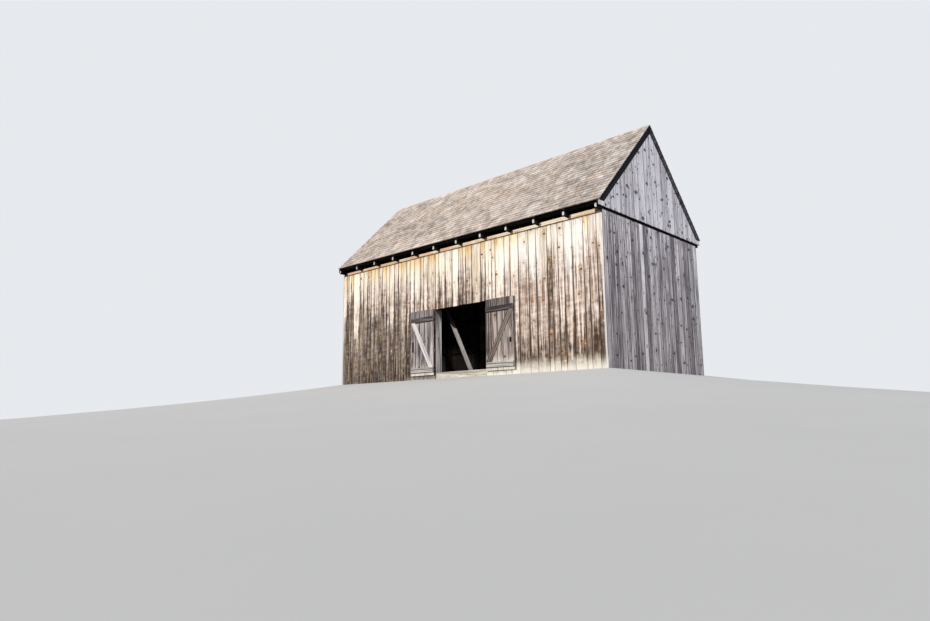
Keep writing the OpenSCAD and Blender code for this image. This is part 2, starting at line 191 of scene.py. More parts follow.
class Finish:
    """One material. node() makes every node of it that isn't a sum of taps. colour is the colour
    so far, and coat() lays the next one over it."""

    def __init__(self, name, roughness=0.85, metallic=0.0, shine=0.2):
        self.material = bpy.data.materials.new(name)
        self.material.use_nodes = True
        self.tree = self.material.node_tree
        self.shader = self.tree.nodes["Principled BSDF"]
        plain = {"Roughness": roughness, "Metallic": metallic, "Specular IOR Level": shine}
        for socket, value in plain.items():
            self.shader.inputs[socket].default_value = value

    def node(self, kind, settings=None, sockets=None, out=0):
        made = self.tree.nodes.new("ShaderNode" + kind)
        for key, value in (settings or {}).items():
            setattr(made, key, value)
        for key, value in (sockets or {}).items():
            feed(find(made.inputs, key), value)
        return Tap(find(made.outputs, out))

    def read(self, name):
        """A vector attribute of the mesh, as three taps."""
        return self.split(self.node("Attribute", {"attribute_name": name}, out="Vector"))

    def place(self):
        """The point on the piece in metres, as three taps."""
        return self.split(self.node("TexCoord", out="Object"))

    def facing(self):
        """The direction that the face looks in, as three taps."""
        return self.split(self.node("NewGeometry", out="Normal"))

    def inward(self):
        """1 on faces that look towards the middle of the barn, 0 on the others."""
        px, py, _ = self.place()
        nx, ny, _ = self.facing()
        return self.step(px * nx + py * ny, -0.5, -1.5)

    def seen(self):
        """1 for rays that show a thing to the camera, straight or in a mirror or glass."""
        path = self.node("LightPath", out="Is Camera Ray")
        return path.most(path.other("Is Glossy Ray")).most(path.other("Is Transmission Ray"))

    def split(self, vector):
        made = self.tree.nodes.new("ShaderNodeSeparateXYZ")
        feed(made.inputs[0], vector)
        return [Tap(s) for s in made.outputs]

    def vector(self, x, y, z):
        return self.node("CombineXYZ", sockets={0: x, 1: y, 2: z})

    def noise(self, x, y, z, detail, roughness=0.55):
        """Cloudy noise between about 0.3 and 0.7, read at x, y, z."""
        return self.node("TexNoise", sockets={
            "Vector": self.vector(x, y, z), "Scale": 1.0, "Detail": detail, "Roughness": roughness,
        })

    def step(self, value, low, high):
        """0 below low, 1 above high and smooth between. low may be the higher one."""
        if not isinstance(low, Tap) and low > high:
            return 1 - self.step(value, high, low)
        return self.node("MapRange", {"interpolation_type": "SMOOTHSTEP"}, {
            "Value": value, "From Min": low, "From Max": high,
        })

    def near(self, value, middle, inner, outer):
        """1 where value is within inner of middle, falling to 0 at outer."""
        return self.step(abs(value - middle), outer, inner)

    def ramp(self, value, places, *colours):
        """A colour ramp over value, with one colour at each place."""
        made = self.node("ValToRGB", sockets={"Fac": value})
        stops = made.socket.node.color_ramp.elements
        while len(stops) < len(colours):
            stops.new(0.5)
        for stop, place, colour in zip(stops, places, colours):
            stop.position = place
            stop.color = (*colour, 1)
        return made

    def mix(self, share, first, second, blend="MIX"):
        """Colour first where share is 0, and second where it is 1."""
        return self.node("Mix", {"data_type": "RGBA", "blend_type": blend}, {
            "Factor_Float": share, "A_Color": first, "B_Color": second,
        }, out="Result_Color")

    def shade(self, colour, amount):
        """colour with its brightness multiplied by amount, by way of a grey."""
        grey = self.node("CombineColor", sockets={0: amount, 1: amount, 2: amount})
        return self.mix(1.0, colour, grey, "MULTIPLY")

    def coat(self, share, colour):
        """Lays a colour over the one so far where share is 1."""
        self.colour = self.mix(share, self.colour, colour)

    def wear(self, roughness=None, height=None, strength=0.5, distance=0.004):
        """Feeds the shader with the colour and the rest, and gives the finished material back."""
        feed(self.shader.inputs["Base Color"], self.colour)
        if roughness is not None:
            feed(self.shader.inputs["Roughness"], roughness)
        if height is not None:
            bump = self.node("Bump", sockets={
                "Height": height, "Strength": strength, "Distance": distance,
            })
            feed(self.shader.inputs["Normal"], bump)
        print(f"finish {self.material.name}: {len(self.tree.nodes)} nodes")
        return self.material


# %% Colour the sky
class Sky(Finish):
    """The world's nodes, made in the same way as a material's."""

    def __init__(self, world):
        self.tree = world.node_tree
        background = self.tree.nodes["Background"]
        light, shown = (0.4, 0.41, 0.44), (0.8, 0.82, 0.85)
        feed(background.inputs["Color"], self.mix(self.seen(), light, shown))
        background.inputs["Strength"].default_value = 1.0


Sky(world)
print("sky nodes:", len(world.node_tree.nodes))

# %% [markdown]
# ## Wood that knows its own length
# Grain runs along a plank wherever the plank lies, so the wood finishes can't read plain places.
# Each plank and beam carries small vectors on its vertices instead. `grain` is the place within
# the wood, with Z along its length, shifted by chance so that no two are alike. `look` holds what
# differs from plank to plank: here the side-to-side place from -1 to 1, a tone and a seed. A third
# one, `wear`, tells how far a board has weathered.

# %% Start a mesh and finish a piece
def new_mesh():
    """An empty bmesh whose vertices can hold the wood's vectors."""
    bm = bmesh.new()
    for name in ("grain", "look", "wear"):
        bm.verts.layers.float_vector.new(name)
    return bm


def tag(bm, vert, **vectors):
    """Writes vectors on one vertex, by the names of its layers."""
    for name, value in vectors.items():
        vert[bm.verts.layers.float_vector[name]] = Vector(value)


def pour(target, source):
    """Adds the finished mesh source to the mesh target."""
    mesh = bpy.data.meshes.new("pour")
    source.to_mesh(mesh)
    source.free()
    target.from_mesh(mesh)
    bpy.data.meshes.remove(mesh)


def piece(name, bm, finish, body, slot, *replaced):
    """Turns a bmesh into a piece of the barn, riding on a body and standing for CAD nodes."""
    bmesh.ops.recalc_face_normals(bm, faces=bm.faces)
    mesh = bpy.data.meshes.new(name)
    bm.to_mesh(mesh)
    bm.free()
    mesh.materials.append(finish)
    obj = bpy.data.objects.new(name, mesh)
    bpy.context.scene.collection.objects.link(obj)
    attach(obj, body)
    if replaced:
        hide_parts(*replaced)
    mesh.calc_loop_triangles()
    print(f"{name}: {len(mesh.loop_triangles)} triangles")
    return obj


# %% [markdown]
# ## The ground
# The floor is a plain pale rise. It is level under the barn and falls away all round, because the
# camera stands lower than the walls' feet and a flat floor would hide them. A rectangle gets round
# corners and is then extruded outwards ring by ring, each ring a little lower.

# %% Make the floor
LEVEL = (6.86, 3.46)
CORNER = 0.3
FALL, REACH = 3.2, 22.0
RINGS = (0.02, 0.1, 0.3, 0.7, 1.4, 2.5, 4, 6, 8.5, 11.5, 15, 19, 24, 30, 38, 50, 70, 110, 180, 300)

ground = bmesh.new()
bmesh.ops.create_grid(ground, x_segments=1, y_segments=1, size=1)
bmesh.ops.scale(ground, vec=(*LEVEL, 1), verts=ground.verts)
bmesh.ops.bevel(
    ground, geom=ground.verts, offset=CORNER, segments=10, profile=0.5, affect="VERTICES",
    material=-1,
)
for reach in RINGS:
    rim = [e for e in ground.edges if e.is_boundary]
    grown = bmesh.ops.extrude_edge_only(ground, edges=rim)["geom"]
    for v in (g for g in grown if isinstance(g, bmesh.types.BMVert)):
        core = Vector([max(-s + CORNER, min(s - CORNER, c)) for s, c in zip(LEVEL, v.co)] + [0])
        flat = Vector((v.co.x, v.co.y, 0))
        v.co = core + (flat - core).normalized() * (CORNER + reach)
        v.co.z = -FALL * (1 - math.exp(-reach / REACH))
bmesh.ops.recalc_face_normals(ground, faces=ground.faces)
floor_mesh = bpy.data.meshes.new("floor")
ground.to_mesh(floor_mesh)
ground.free()
for face in floor_mesh.polygons:
    face.use_smooth = len(face.vertices) == 4
floor = bpy.data.objects.new("floor", floor_mesh)
bpy.context.scene.collection.objects.link(floor)
floor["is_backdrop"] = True
paper = Finish("pale_floor", roughness=0.95, shine=0.1)
px, py, pz = paper.place()
shown = paper.mix(paper.noise(px * 0.4, py * 0.4, pz, 2.0), (0.6, 0.6, 0.59), (0.64, 0.64, 0.63))
paper.colour = paper.mix(paper.seen(), (0.2, 0.2, 0.19), shown)
floor_mesh.materials.append(paper.wear())
print("floor falls", FALL, "m over", RINGS[-1], "m")

# %% [markdown]
# ## One plank
# A sawn board is a box, but an old one is never quite straight: it bows away from its nails, its
# edges wander and its corners are worn. So a cube is stretched between two corners, cut across
# every half metre, bowed by a slow wave and bevelled. Every wall below is made of such planks, and
# so are the door leaves, one of which has a hand slot cut through.

# %% Make one plank
def cut(bm, point, normal, cap=True, **options):
    """Cuts a whole bmesh with a plane, and closes the hole where the outer part is cleared."""
    geom = [*bm.verts, *bm.edges, *bm.faces]
    made = bmesh.ops.bisect_plane(bm, geom=geom, plane_co=point, plane_no=normal, **options)
    if cap and options:
        edges = [g for g in made["geom_cut"] if isinstance(g, bmesh.types.BMEdge)]
        bmesh.ops.edgeloop_fill(bm, edges=edges)


def slot_through(bm, low, high):
    """Opens a slot through a board between x and z of two corners, from face to face."""
    for axis in (0, 2):
        for corner in (low, high):
            normal = Vector((0, 0, 0))
            normal[axis] = 1
            cut(bm, corner, normal, cap=False)
    inside = [
        f for f in bm.faces
        if abs(f.normal.y) > 0.9
        and low[0] < f.calc_center_median().x < high[0]
        and low[2] < f.calc_center_median().z < high[2]
    ]
    rims = list(dict.fromkeys(e for f in inside for e in f.edges))
    bmesh.ops.delete(bm, geom=inside, context="FACES_ONLY")
    bmesh.ops.bridge_loops(bm, edges=[e for e in rims if e.is_valid and e.is_boundary])


def soften(bm, width, angle=0.6):
    """Bevels every edge that is sharper than the angle, as wear does."""
    sharp = [e for e in bm.edges if len(e.link_faces) == 2 and e.calc_face_angle() > angle]
    bmesh.ops.bevel(
        bm, geom=sharp, offset=width, segments=1, profile=0.5, affect="EDGES",
        clamp_overlap=True, material=-1,
    )


def plank(low, high, chance, tone=0.0, wear=(0, 0, 0), bow=0.003, slot=None, planes=()):
    """A worn board with its face towards -Y, between two corners, as a bmesh of its own."""
    bm = new_mesh()
    low, high = Vector(low), Vector(high)
    size = high - low
    middle = (low + high) / 2
    bmesh.ops.create_cube(bm, size=1, matrix=Matrix.LocRotScale(middle, None, size))
    if slot:
        slot_through(bm, *slot)
    for point, normal in planes:
        cut(bm, point, normal, clear_outer=True)
    parts = int(size.z / 0.5) + 1
    for i in range(1, parts):
        cut(bm, (0, 0, low.z + i * size.z / parts), (0, 0, 1), cap=False)
    seed = chance.random()
    for v in bm.verts:
        wave = noise.noise(Vector((seed * 90, v.co.z * 0.5, 0)))
        edge = noise.noise(Vector((seed * 50, v.co.z * 0.9, v.co.x)))
        v.co.y += bow * (0.5 + wave * 0.7) if bow else 0
        v.co.x -= math.copysign(0.0025 * (0.5 + edge * 0.7), v.co.x - middle.x)
    soften(bm, 0.003)
    shift = Vector((chance.uniform(0, 30), chance.uniform(0, 30), chance.uniform(0, 30)))
    for v in bm.verts:
        across = max(-1, min(1, (v.co.x - middle.x) * 2 / size.x))
        tag(
            bm, v,
            grain=Vector((v.co.x - middle.x, v.co.y, v.co.z)) + shift,
            look=(across, tone, seed), wear=wear,
        )
    return bm


# %% [markdown]
# ## The walls
# The boards stand side by side on the frame, wide and narrow as the saw gave them. On the two sides
# that show, their joints follow the photograph. Two more numbers for each front board say how far
# down the eave has kept it pale and where it turns grey, in metres above the ground. The sides that
# don't show get boards of the same kind by chance.
# A wall is built facing -Y and then turned to its side, so that one function makes them all.

# %% List the boards that show
FRONT_LEFT = (
    (-6.405, 3.3, 2.9), (-6.28, 4.4, 3.6), (-6.095, 4.0, 3.5), (-5.95, 4.2, 3.6),
    (-5.48, 3.4, 1.9), (-5.22, 4.2, 3.7), (-4.95, 3.8, 3.0), (-4.7, 4.3, 3.2),
    (-4.47, 4.1, 2.9), (-4.18, 3.5, 2.4), (-3.96, 4.3, 3.2), (-3.68, 3.9, 2.9),
    (-3.495, 3.8, 2.6), (-3.18, 3.6, 2.1), (-2.905, 4.2, 3.3), (-2.77, 3.9, 3.1),
    (-2.43, 3.7, 1.8), (-2.2, 3.9, 2.6), (-1.95, 3.8, 2.5), (-1.61, 3.6, 2.4),
    (-1.405, 3.9, 2.7), (-1.18, 3.9, 2.4), (-0.745, 3.5, 2.0),
)
OVER_DOOR = (
    (-0.56, 3.8, 2.2), (-0.22, 3.7, 2.3), (0.16, 3.9, 2.4), (0.5, 3.6, 2.2), (0.72, 4.0, 2.6),
    (0.865, 4.2, 2.9), (1.17, 4.2, 2.0), (1.61, 3.2, 1.5), (1.84, 3.6, 2.8),
)
FRONT_RIGHT = (
    (2.135, 3.3, 1.6), (2.295, 3.4, 1.8), (2.72, 3.2, 1.6), (2.98, 3.4, 1.6),
    (3.355, 3.6, 0.9), (3.795, 3.5, 0.8), (4.105, 3.3, 0.9), (4.57, 3.1, 0.7),
    (4.75, 4.2, 3.4), (5.0, 3.7, 1.2), (5.23, 3.9, 1.5), (5.555, 3.3, 0.7),
    (5.98, 3.5, 1.0), (6.16, 3.8, 1.7), (6.47, 3.6, 1.3), (6.7, 3.4, 2.0),
)
END_JOINTS = (
    -3.04, -2.69, -2.42, -2.15, -1.89, -1.6, -1.31, -1.04, -0.776, -0.42, -0.15,
    0.094, 0.38, 0.647, 0.92, 1.176, 1.49, 1.84, 2.19, 2.6, 2.9, 3.275,
)
END_TONES = (
    0.1, -0.4, -0.4, 0.1, 0.1, 0.3, -0.6, -0.3, 1, -0.8, 0.3,
    0.5, -0.2, 0, 0.1, 0.1, -0.7, 0.4, 0.1, -0.7, 0, 0.2,
)
GABLE_JOINTS = (
    -3.19, -2.84, -2.51, -2.19, -1.89, -1.69, -1.35, -1.01, -0.57, -0.32, -0.07,
    0.25, 0.665, 1.08, 1.52, 1.85, 2.19, 2.58, 2.87, 3.16, 3.54,
)
print("front boards:", len(FRONT_LEFT) + len(OVER_DOOR) + len(FRONT_RIGHT))


# %% Build a wall of planks
def joints_by_chance(end, seed):
    """Joints from -end to end, 0.2 to 0.38 m apart."""
    chance = random.Random(seed)
    joints = [-end]
    while joints[-1] < end:
        joints.append(joints[-1] + chance.uniform(0.2, 0.38))
    share = 2 * end / (joints[-1] + end)
    return [-end + (j + end) * share for j in joints[1:]]


def wall_turn(side):
    """The matrix that turns a wall built facing -Y to its side of the barn."""
    degrees = {"front": 0, "right": 90, "back": 180, "left": 270}[side]
    return Matrix.Rotation(math.radians(degrees), 4, "Z")


def wall_box(node, side):
    """A CAD node's box as seen from its own side, before the turn: lowest and highest corner."""
    back = wall_turn(side).inverted()
    corners = [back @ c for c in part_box(node)]
    return Vector(map(min, *corners)), Vector(map(max, *corners))


def wall(name, side, finish, slot, joints, seed, tones=None, wears=None, foot=0.012, roof=None):
    """A wall of planks that stands for a CAD slab. joints are the boards' right edges."""
    chance = random.Random(seed)
    node = name + "_boards"
    low, high = wall_box(node, side)
    whole = new_mesh()
    start = low.x
    for i, end in enumerate(joints):
        gap = chance.uniform(0.0015, 0.004)
        tone = tones[i] if tones else chance.uniform(-0.8, 0.8)
        wear = wears[i] if wears else (chance.uniform(3, 4.2), chance.uniform(1.6, 3.2), 0)
        left = start + (gap if i else 0)
        board = plank(
            (left, low.y + chance.uniform(0, 0.0025), low.z + chance.uniform(0, foot)),
            (min(end, high.x) - (gap if i < len(joints) - 1 else 0), high.y,
             high.z - (0 if roof else chance.uniform(0, 0.01))),
            chance, tone, wear, 0.0025, planes=roof or (),
        )
        pour(whole, board)
        start = end
    bmesh.ops.transform(whole, matrix=wall_turn(side), verts=whole.verts)
    piece(name + "_siding", whole, finish, "barn", slot, node)


# %% [markdown]
# ## Weathered siding
# Unpainted pine turns from honey to tan to silver as rain and sun reach it. Under the eave it stays
# honey coloured. Lower down the grey wins, first in streaks along the grain and around the knots.
# Where splashes keep the foot wet and the sun dries it again, it bleaches. The mask for each stage
# is the height above the ground, pushed up and down by streaky noise, so no stage ends in a
# straight line. Knots come from a Voronoi pattern stretched along the board, and the grain is
# pushed apart around them. Behind the hand slots of the open leaves the wall is painted dark: it is
# painted shade, so that the slots show dark.

# %% Grain, knots and edges of a sawn board
def spots(f, x, z, cells, share, small, large, ragged, flat):
    """Spots by chance, at most one a cell: core and halo masks, sideways offset and a pick.
    small and large are their radii, and flat is the square of how much wider than tall they are."""
    found = f.node("TexVoronoi", {"voronoi_dimensions": "2D"}, {
        "Vector": f.vector(x * cells[0], z * cells[1], 0), "Scale": 1.0,
    }, out="Position")
    at = f.split(found)
    pick = f.split(found.other("Color"))
    there = f.step(pick[1], 1 - share, 1 - share + 0.02)
    dx, dz = x - at[0] / cells[0], z - at[1] / cells[1]
    radius = small + pick[0] * pick[0] * (large - small)
    round_, long_ = (
        (dx * dx + dz * dz * squash) ** 0.5 * (1 + ragged) / radius for squash in (flat, 0.25)
    )
    return f.step(round_, 1.2, 0.7) * there, f.step(long_, 3.0, 0.9) * there, dx, pick[2]


def sawn_grain(f, knots=0.5, knot_size=1.0, flat=1.8):
    """What every sawn board shares, read from its grain and look vectors. mid, fine, slow, patch
    and cross are noises about 0, and knot, near and joint are masks."""
    x, y, z = f.read("grain")
    edge, tone, seed = f.read("look")
    ragged = (f.noise(x * 30, z * 22, seed * 9, 2.0) - 0.5) * 1.6
    knot, near, aside, _ = spots(
        f, x, z, (2.4, 1.5), knots, 0.02 * knot_size, 0.06 * knot_size, ragged, flat
    )
    bent = x - aside * near * 0.55
    fine = f.noise(bent * 55, y * 55, z * 1.5, 5.0, 0.6) - 0.5
    mid = f.noise(bent * 17, y * 10, z * 0.6, 3.0) - 0.5
    patch = f.noise(bent * 6, y, z * 2.4, 3.0) - 0.5
    slow = f.noise(bent * 4, y, z * 0.3 + seed * 9, 2.0) - 0.5
    cross = f.noise(bent * 2.5, y, z * 8, 3.0) - 0.5
    edge_mask = abs(edge)
    return SimpleNamespace(
        x=x, z=z, edge=edge, tone=tone, seed=seed, near=near, knot=knot, fine=fine, mid=mid,
        slow=slow, patch=patch, cross=cross, near_edge=edge_mask ** 3, ragged=ragged,
        joint=f.step(edge_mask + mid * 0.1, 0.84, 0.95),
    )


def nail_runs(f, w, height, rows):
    """Short dark runs under the nail rows at the given heights, near each board's edges."""
    column = f.near(abs(w.edge) + w.slow * 0.15, 0.62, 0.01, 0.12)
    runs = None
    for row in rows:
        below = row - height
        run = f.step(below, -0.02, 0.0) * f.step(below, 0.3, 0.02)
        runs = run if runs is None else runs.most(run)
    return column * runs


def sawn_wear(f, w, knots=0.3):
    """The roughness and the relief of a sawn board, with its knots a little sunk."""
    return f.wear(w.fine * 0.2 + 0.88, w.fine * 0.7 + w.mid * 0.5 - w.knot * knots, 0.45, 0.006)


# %% Siding of the long walls
NAIL_ROWS = (0.13, 1.7, 3.3, 4.8)
# The colour of painted shade: inner faces take it, as the dark inside the barn
INSIDE_SHADE = (0.05, 0.04, 0.034)
# Place in X and Z and half height of the painted shade on the wall behind the open leaves' hand
# slots
SLOT_SHADE = ((-2.0, 1.3, 0.22), (2.94, 1.18, 0.12))
CORNER_BOARDS, TOP_SHADE = 6.42, 4.8


def long_siding(name):
    f = Finish(name)
    w = sawn_grain(f)
    px, py, height = f.place()
    pale, dull, band = f.read("wear")
    calm = 0.5 + w.mid * 0.55 + w.fine * 0.55 + w.slow * 0.5 + w.tone * 0.06
    rough = 0.5 + w.mid + w.fine * 0.8 + w.cross * 0.45 + w.tone * 0.07
    wander = w.mid * 1.8 + w.patch * 1.8 + w.fine * 0.9
    right = f.step(px + w.slow * 4, 1.5, 4.5)
    sheltered = f.step(height + wander - w.near_edge * 0.5 - pale, -0.7, 0.6)
    warm = f.step(height + wander * 0.5, 4.15, 4.8) * f.step(w.seed - right * 0.35, 0.2, 0.45)
    warm = warm * f.step(abs(px), CORNER_BOARDS + 0.1, CORNER_BOARDS)
    weathered = f.step(height + wander * 1.3 - w.near_edge * 1.3 - dull, 0.55, -0.6)
    cream, white = (f.ramp(calm, (0.36, 0.46, 0.6), *colours) for colours in (
        ((0.6, 0.46, 0.34), (0.86, 0.75, 0.6), (0.93, 0.87, 0.75)),
        ((0.68, 0.57, 0.47), (0.92, 0.87, 0.8), (0.95, 0.93, 0.88)),
    ))
    honey = ((0.52, 0.29, 0.12), (0.85, 0.6, 0.3), (0.94, 0.78, 0.5))
    honey = f.ramp(calm, (0.36, 0.46, 0.62), *honey)
    tan = ((0.26, 0.17, 0.13), (0.65, 0.53, 0.455), (0.87, 0.765, 0.68))
    grey = ((0.045, 0.032, 0.026), (0.175, 0.132, 0.105), (0.39, 0.32, 0.265))
    f.colour = f.ramp(rough, (0.36, 0.5, 0.64), *tan)
    f.coat(sheltered, f.mix(right, cream, white))
    f.coat(warm, f.mix(right * 0.45, honey, (0.97, 0.9, 0.66)))
    f.coat(weathered, f.ramp(rough, (0.38, 0.5, 0.64), *grey))
    f.coat(weathered * right * 0.2, (0.1, 0.03, 0.0))
    soot = f.step(height + wander * 0.3, 1.3, 0.1) * f.step(px, 0, -1.5)
    f.colour = f.shade(f.colour, 1 - soot * 0.4)
    core, halo, _, pick = spots(f, w.x, w.z + 5, (4.3, 2.9), 0.42, 0.014, 0.05, w.ragged, 1.8)
    low = f.step(height, 3.4, 1.6)
    f.coat(halo * low * 0.4, f.mix(pick, (0.12, 0.085, 0.065), (0.6, 0.45, 0.33)))
    stain = f.mix(f.step(pick, 0.3, 0.5), (0.12, 0.075, 0.05), (0.72, 0.56, 0.42))
    f.coat(core * (0.3 + 0.4 * low), stain)
    f.coat(w.near * 0.35, (0.5, 0.29, 0.14))
    f.coat(w.knot * 0.9, (0.1, 0.052, 0.026))
    seam = f.step(abs(w.edge) + w.mid * 0.9 + (4.2 - height) * 0.035, 0.84, 1.0)
    f.coat(seam * 0.5, (0.13, 0.08, 0.055))
    f.coat(nail_runs(f, w, height, NAIL_ROWS) * 0.5, (0.13, 0.08, 0.055))
    splash = f.step(height + w.mid * 0.7 + w.slow * 0.3 - band, 0.2, -0.14)
    bleached = f.ramp(rough, (0.36, 0.52), (0.5, 0.45, 0.385), (0.78, 0.725, 0.63))
    bleached = f.mix(f.step(height + w.mid * 0.2, 0.24, 0.06) * 0.7, bleached, (0.9, 0.86, 0.76))
    f.coat(splash * f.step(band, 0.05, 0.1) * 0.9, bleached)
    outer = f.step(abs(px) + w.mid * 0.15, 6.58, 6.66) * f.step(height, 4.2, 3.2)
    f.coat(outer * 0.75, (0.82, 0.8, 0.8))
    fresh = f.step(height, 3.0, 4.4) * (0.15 + right * 0.2)
    joint = f.step(abs(w.edge) + w.mid * 0.08, 0.85 + fresh * 0.25, 0.95 + fresh * 0.12)
    f.coat(joint * (0.86 - splash * 0.7 - fresh), (0.05, 0.03, 0.02))
    # Painted shade: the wall behind each hand slot is darkened, so that the slot shows dark
    for x, z, tall in SLOT_SHADE:
        away = ((px - x) / 0.14) ** 2 + ((height - z) / tall) ** 2 + w.mid * 0.8
        f.coat(f.step(away, 1.0, 0.3) * f.step(py, 0, -1) * 0.85, (0.02, 0.014, 0.01))
    # A painted shadow line along the boards' tops, under the plate
    f.coat(f.step(height + w.mid * 0.05, TOP_SHADE, TOP_SHADE + 0.025) * 0.92, (0.09, 0.045, 0.02))
    f.colour = f.shade(f.colour, 1 + w.tone * 0.1)
    # Painted shade: inner faces take the dark colour of the inside
    f.coat(f.inward() * 0.9, INSIDE_SHADE)
    return sawn_wear(f, w)


long_wall_siding = long_siding("long_wall_siding")


# %% Siding of the end walls
GABLE_ROWS = (5.06, 5.95, 6.8)
OPEN_SLOT = 4.967  # Height of the open slot between the end boards and the gable boards


def grey_siding(name, tones, rows, knots, contrast, warm, lift, joint):
    """Silver-grey siding. tones are the colours from the darkest streaks to the palest. lift is how
    much paler than at the foot the wall is under the eave, and joint how dark its joints are."""
    f = Finish(name)
    w = sawn_grain(f, *knots)
    height = f.place()[2]
    grain = 0.5 + w.mid + w.fine * 0.9 + w.slow * 0.4 + w.tone * contrast
    f.colour = f.ramp(grain, (0.3, 0.42, 0.54, 0.72), *tones)
    f.coat(f.step(w.patch + w.slow, -0.02, 0.12) * 0.4, f.shade(warm, 1 + w.mid * 0.5))
    up_ = f.step(height + w.patch * 2, 1.2, 4.9)
    f.colour = f.shade(f.colour, 1 + up_ * lift)
    f.coat((1 - up_) * 0.3, f.shade((0.5, 0.43, 0.38), w.mid * 2 + 0.6 + w.tone * contrast))
    side = f.step(w.seed, 0.5, 0.52) * 2 - 1
    many = f.step(w.seed * 7.3 % 1, 0.3, 0.35)
    rim = f.step(w.edge * side + w.mid * 0.4, 0.62, 0.78) * many
    f.coat(rim * 0.75, f.shade(tones[-1], 0.92 + up_ * 0.08))
    f.coat(w.near * 0.35, tones[1])
    f.coat(w.knot * 0.9, (0.055, 0.05, 0.055))
    dash = spots(f, w.x, w.z + 5, (5.2, 3.4), 0.5, 0.01, 0.04, w.ragged, 0.3)[0]
    f.coat(dash * 0.75, (0.085, 0.08, 0.09))
    f.coat(nail_runs(f, w, height, rows) * 0.5, (0.08, 0.075, 0.08))
    f.coat(w.joint * joint, (0.05, 0.044, 0.048))
    # Painted shade: the boards just beside the open slot under the gable are darkened, so the slot
    # shows as a thick dark line
    f.coat(f.near(height + w.mid * 0.06, OPEN_SLOT, 0.035, 0.055) * 0.9, (0.012, 0.009, 0.009))
    # Painted shade: inner faces take the dark colour of the inside
    f.coat(f.inward() * 0.9, INSIDE_SHADE)
    return sawn_wear(f, w)


end_siding = grey_siding(
    "end_siding",
    ((0.12, 0.108, 0.116), (0.235, 0.215, 0.23), (0.46, 0.43, 0.46), (0.8, 0.78, 0.81)),
    (0.13, 1.7, 3.3, 4.85), (0.7, 1.9, 2.4), 0.25, (0.4, 0.34, 0.335), 0.24, 0.85,
)
gable_siding = grey_siding(
    "gable_siding",
    ((0.34, 0.32, 0.34), (0.54, 0.515, 0.55), (0.72, 0.7, 0.745), (0.9, 0.89, 0.93)),
    GABLE_ROWS, (0.9, 1.9, 2.2), 0.12, (0.72, 0.64, 0.66), 0.0, 0.5,
)

# %% [markdown]
# Every wall is an entry in one table. The gable boards are built as tall planks and then cut along
# the roof: one plane for each slope, through the ridge. A bisect that clears its outer side leaves
# an open end, which is filled at once.

# %% Build the walls
FRESH_BAND = random.Random(5)
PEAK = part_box("right_gable_boards")[1].z
SLOPES = [((0, 0, PEAK), (side, 0, 1)) for side in (-1, 1)]
WALLS = (
    ("front_left", "front", long_wall_siding, "front_boards", [b[0] for b in FRONT_LEFT], 11,
     {"wears": [(p, g, 0.07 if x > -2.3 else 0.0) for x, p, g in FRONT_LEFT]}),
    ("over_door", "front", long_wall_siding, "front_boards", [b[0] for b in OVER_DOOR], 12,
     {"wears": [(p, g + 0.4, 0.0) for _, p, g in OVER_DOOR], "foot": 0.02}),
    ("front_right", "front", long_wall_siding, "front_boards", [b[0] for b in FRONT_RIGHT], 13,
     {"wears": [
         (p, g, FRESH_BAND.uniform(0.23, 0.33) if x > 3.2 else 0.2) for x, p, g in FRONT_RIGHT
     ]}),
    ("back", "back", long_wall_siding, "back_boards", joints_by_chance(6.7, 14), 15, {}),
    ("right_end", "right", end_siding, "end_boards", END_JOINTS, 16, {"tones": END_TONES}),
    ("left_end", "left", end_siding, "end_boards", joints_by_chance(3.275, 17), 18, {}),
    ("right_gable", "right", gable_siding, "gable_boards", GABLE_JOINTS, 21,
     {"foot": 0.015, "roof": SLOPES}),
    ("left_gable", "left", gable_siding, "gable_boards",
     joints_by_chance(-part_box("right_gable_boards")[0].y, 22), 23,
     {"foot": 0.015, "roof": SLOPES}),
)
for name, side, finish, slot, joints, seed, options in WALLS:
    wall(name, side, finish, slot, joints, seed, **options)
print("gable peak at", round(PEAK, 3), "m")

# %% [markdown]
# ## Hewn timbers
# The frame's beams already have their true shapes in the CAD model, with cut feet and notches. So
# a copy of each solid is taken, its loose triangles are merged, and its flat faces are joined
# again. It is then cut across every 0.4 m so that the axe's unevenness has points to move, and its
# sharp edges are worn. The longest edge of a timber gives the direction of its grain. The solids of
# a node are taken in the order of their vertices, so that the same seed always gives the same barn.

# %% Dress the timbers of a node
def islands(bm):
    """The separate solids of a mesh, each as a set of vertex numbers, lowest number first."""
    done = set()
    for start in bm.verts:
        found, edge = set(), [start]
        while edge:
            v = edge.pop()
            if v.index not in done:
                done.add(v.index)
                found.add(v.index)
                edge += [e.other_vert(v) for e in v.link_edges]
        if found:
            yield found


def split_solids(node):
    """A merged copy of a CAD node's mesh, as one bmesh for each of its solids."""
    bm = bmesh.new()
    bm.from_mesh(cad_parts[node].data)
    bmesh.ops.remove_doubles(bm, verts=bm.verts, dist=1e-5)
    bmesh.ops.dissolve_limit(bm, angle_limit=0.01, verts=bm.verts, edges=bm.edges)
    bm.verts.index_update()
    for solid in list(islands(bm)):
        mesh = bpy.data.meshes.new("solid")
        single = bm.copy()
        rest = [v for v in single.verts if v.index not in solid]
        bmesh.ops.delete(single, geom=rest, context="VERTS")
        single.to_mesh(mesh)
        single.free()
        one = new_mesh()
        one.from_mesh(mesh)
        bpy.data.meshes.remove(mesh)
        yield one
    bm.free()


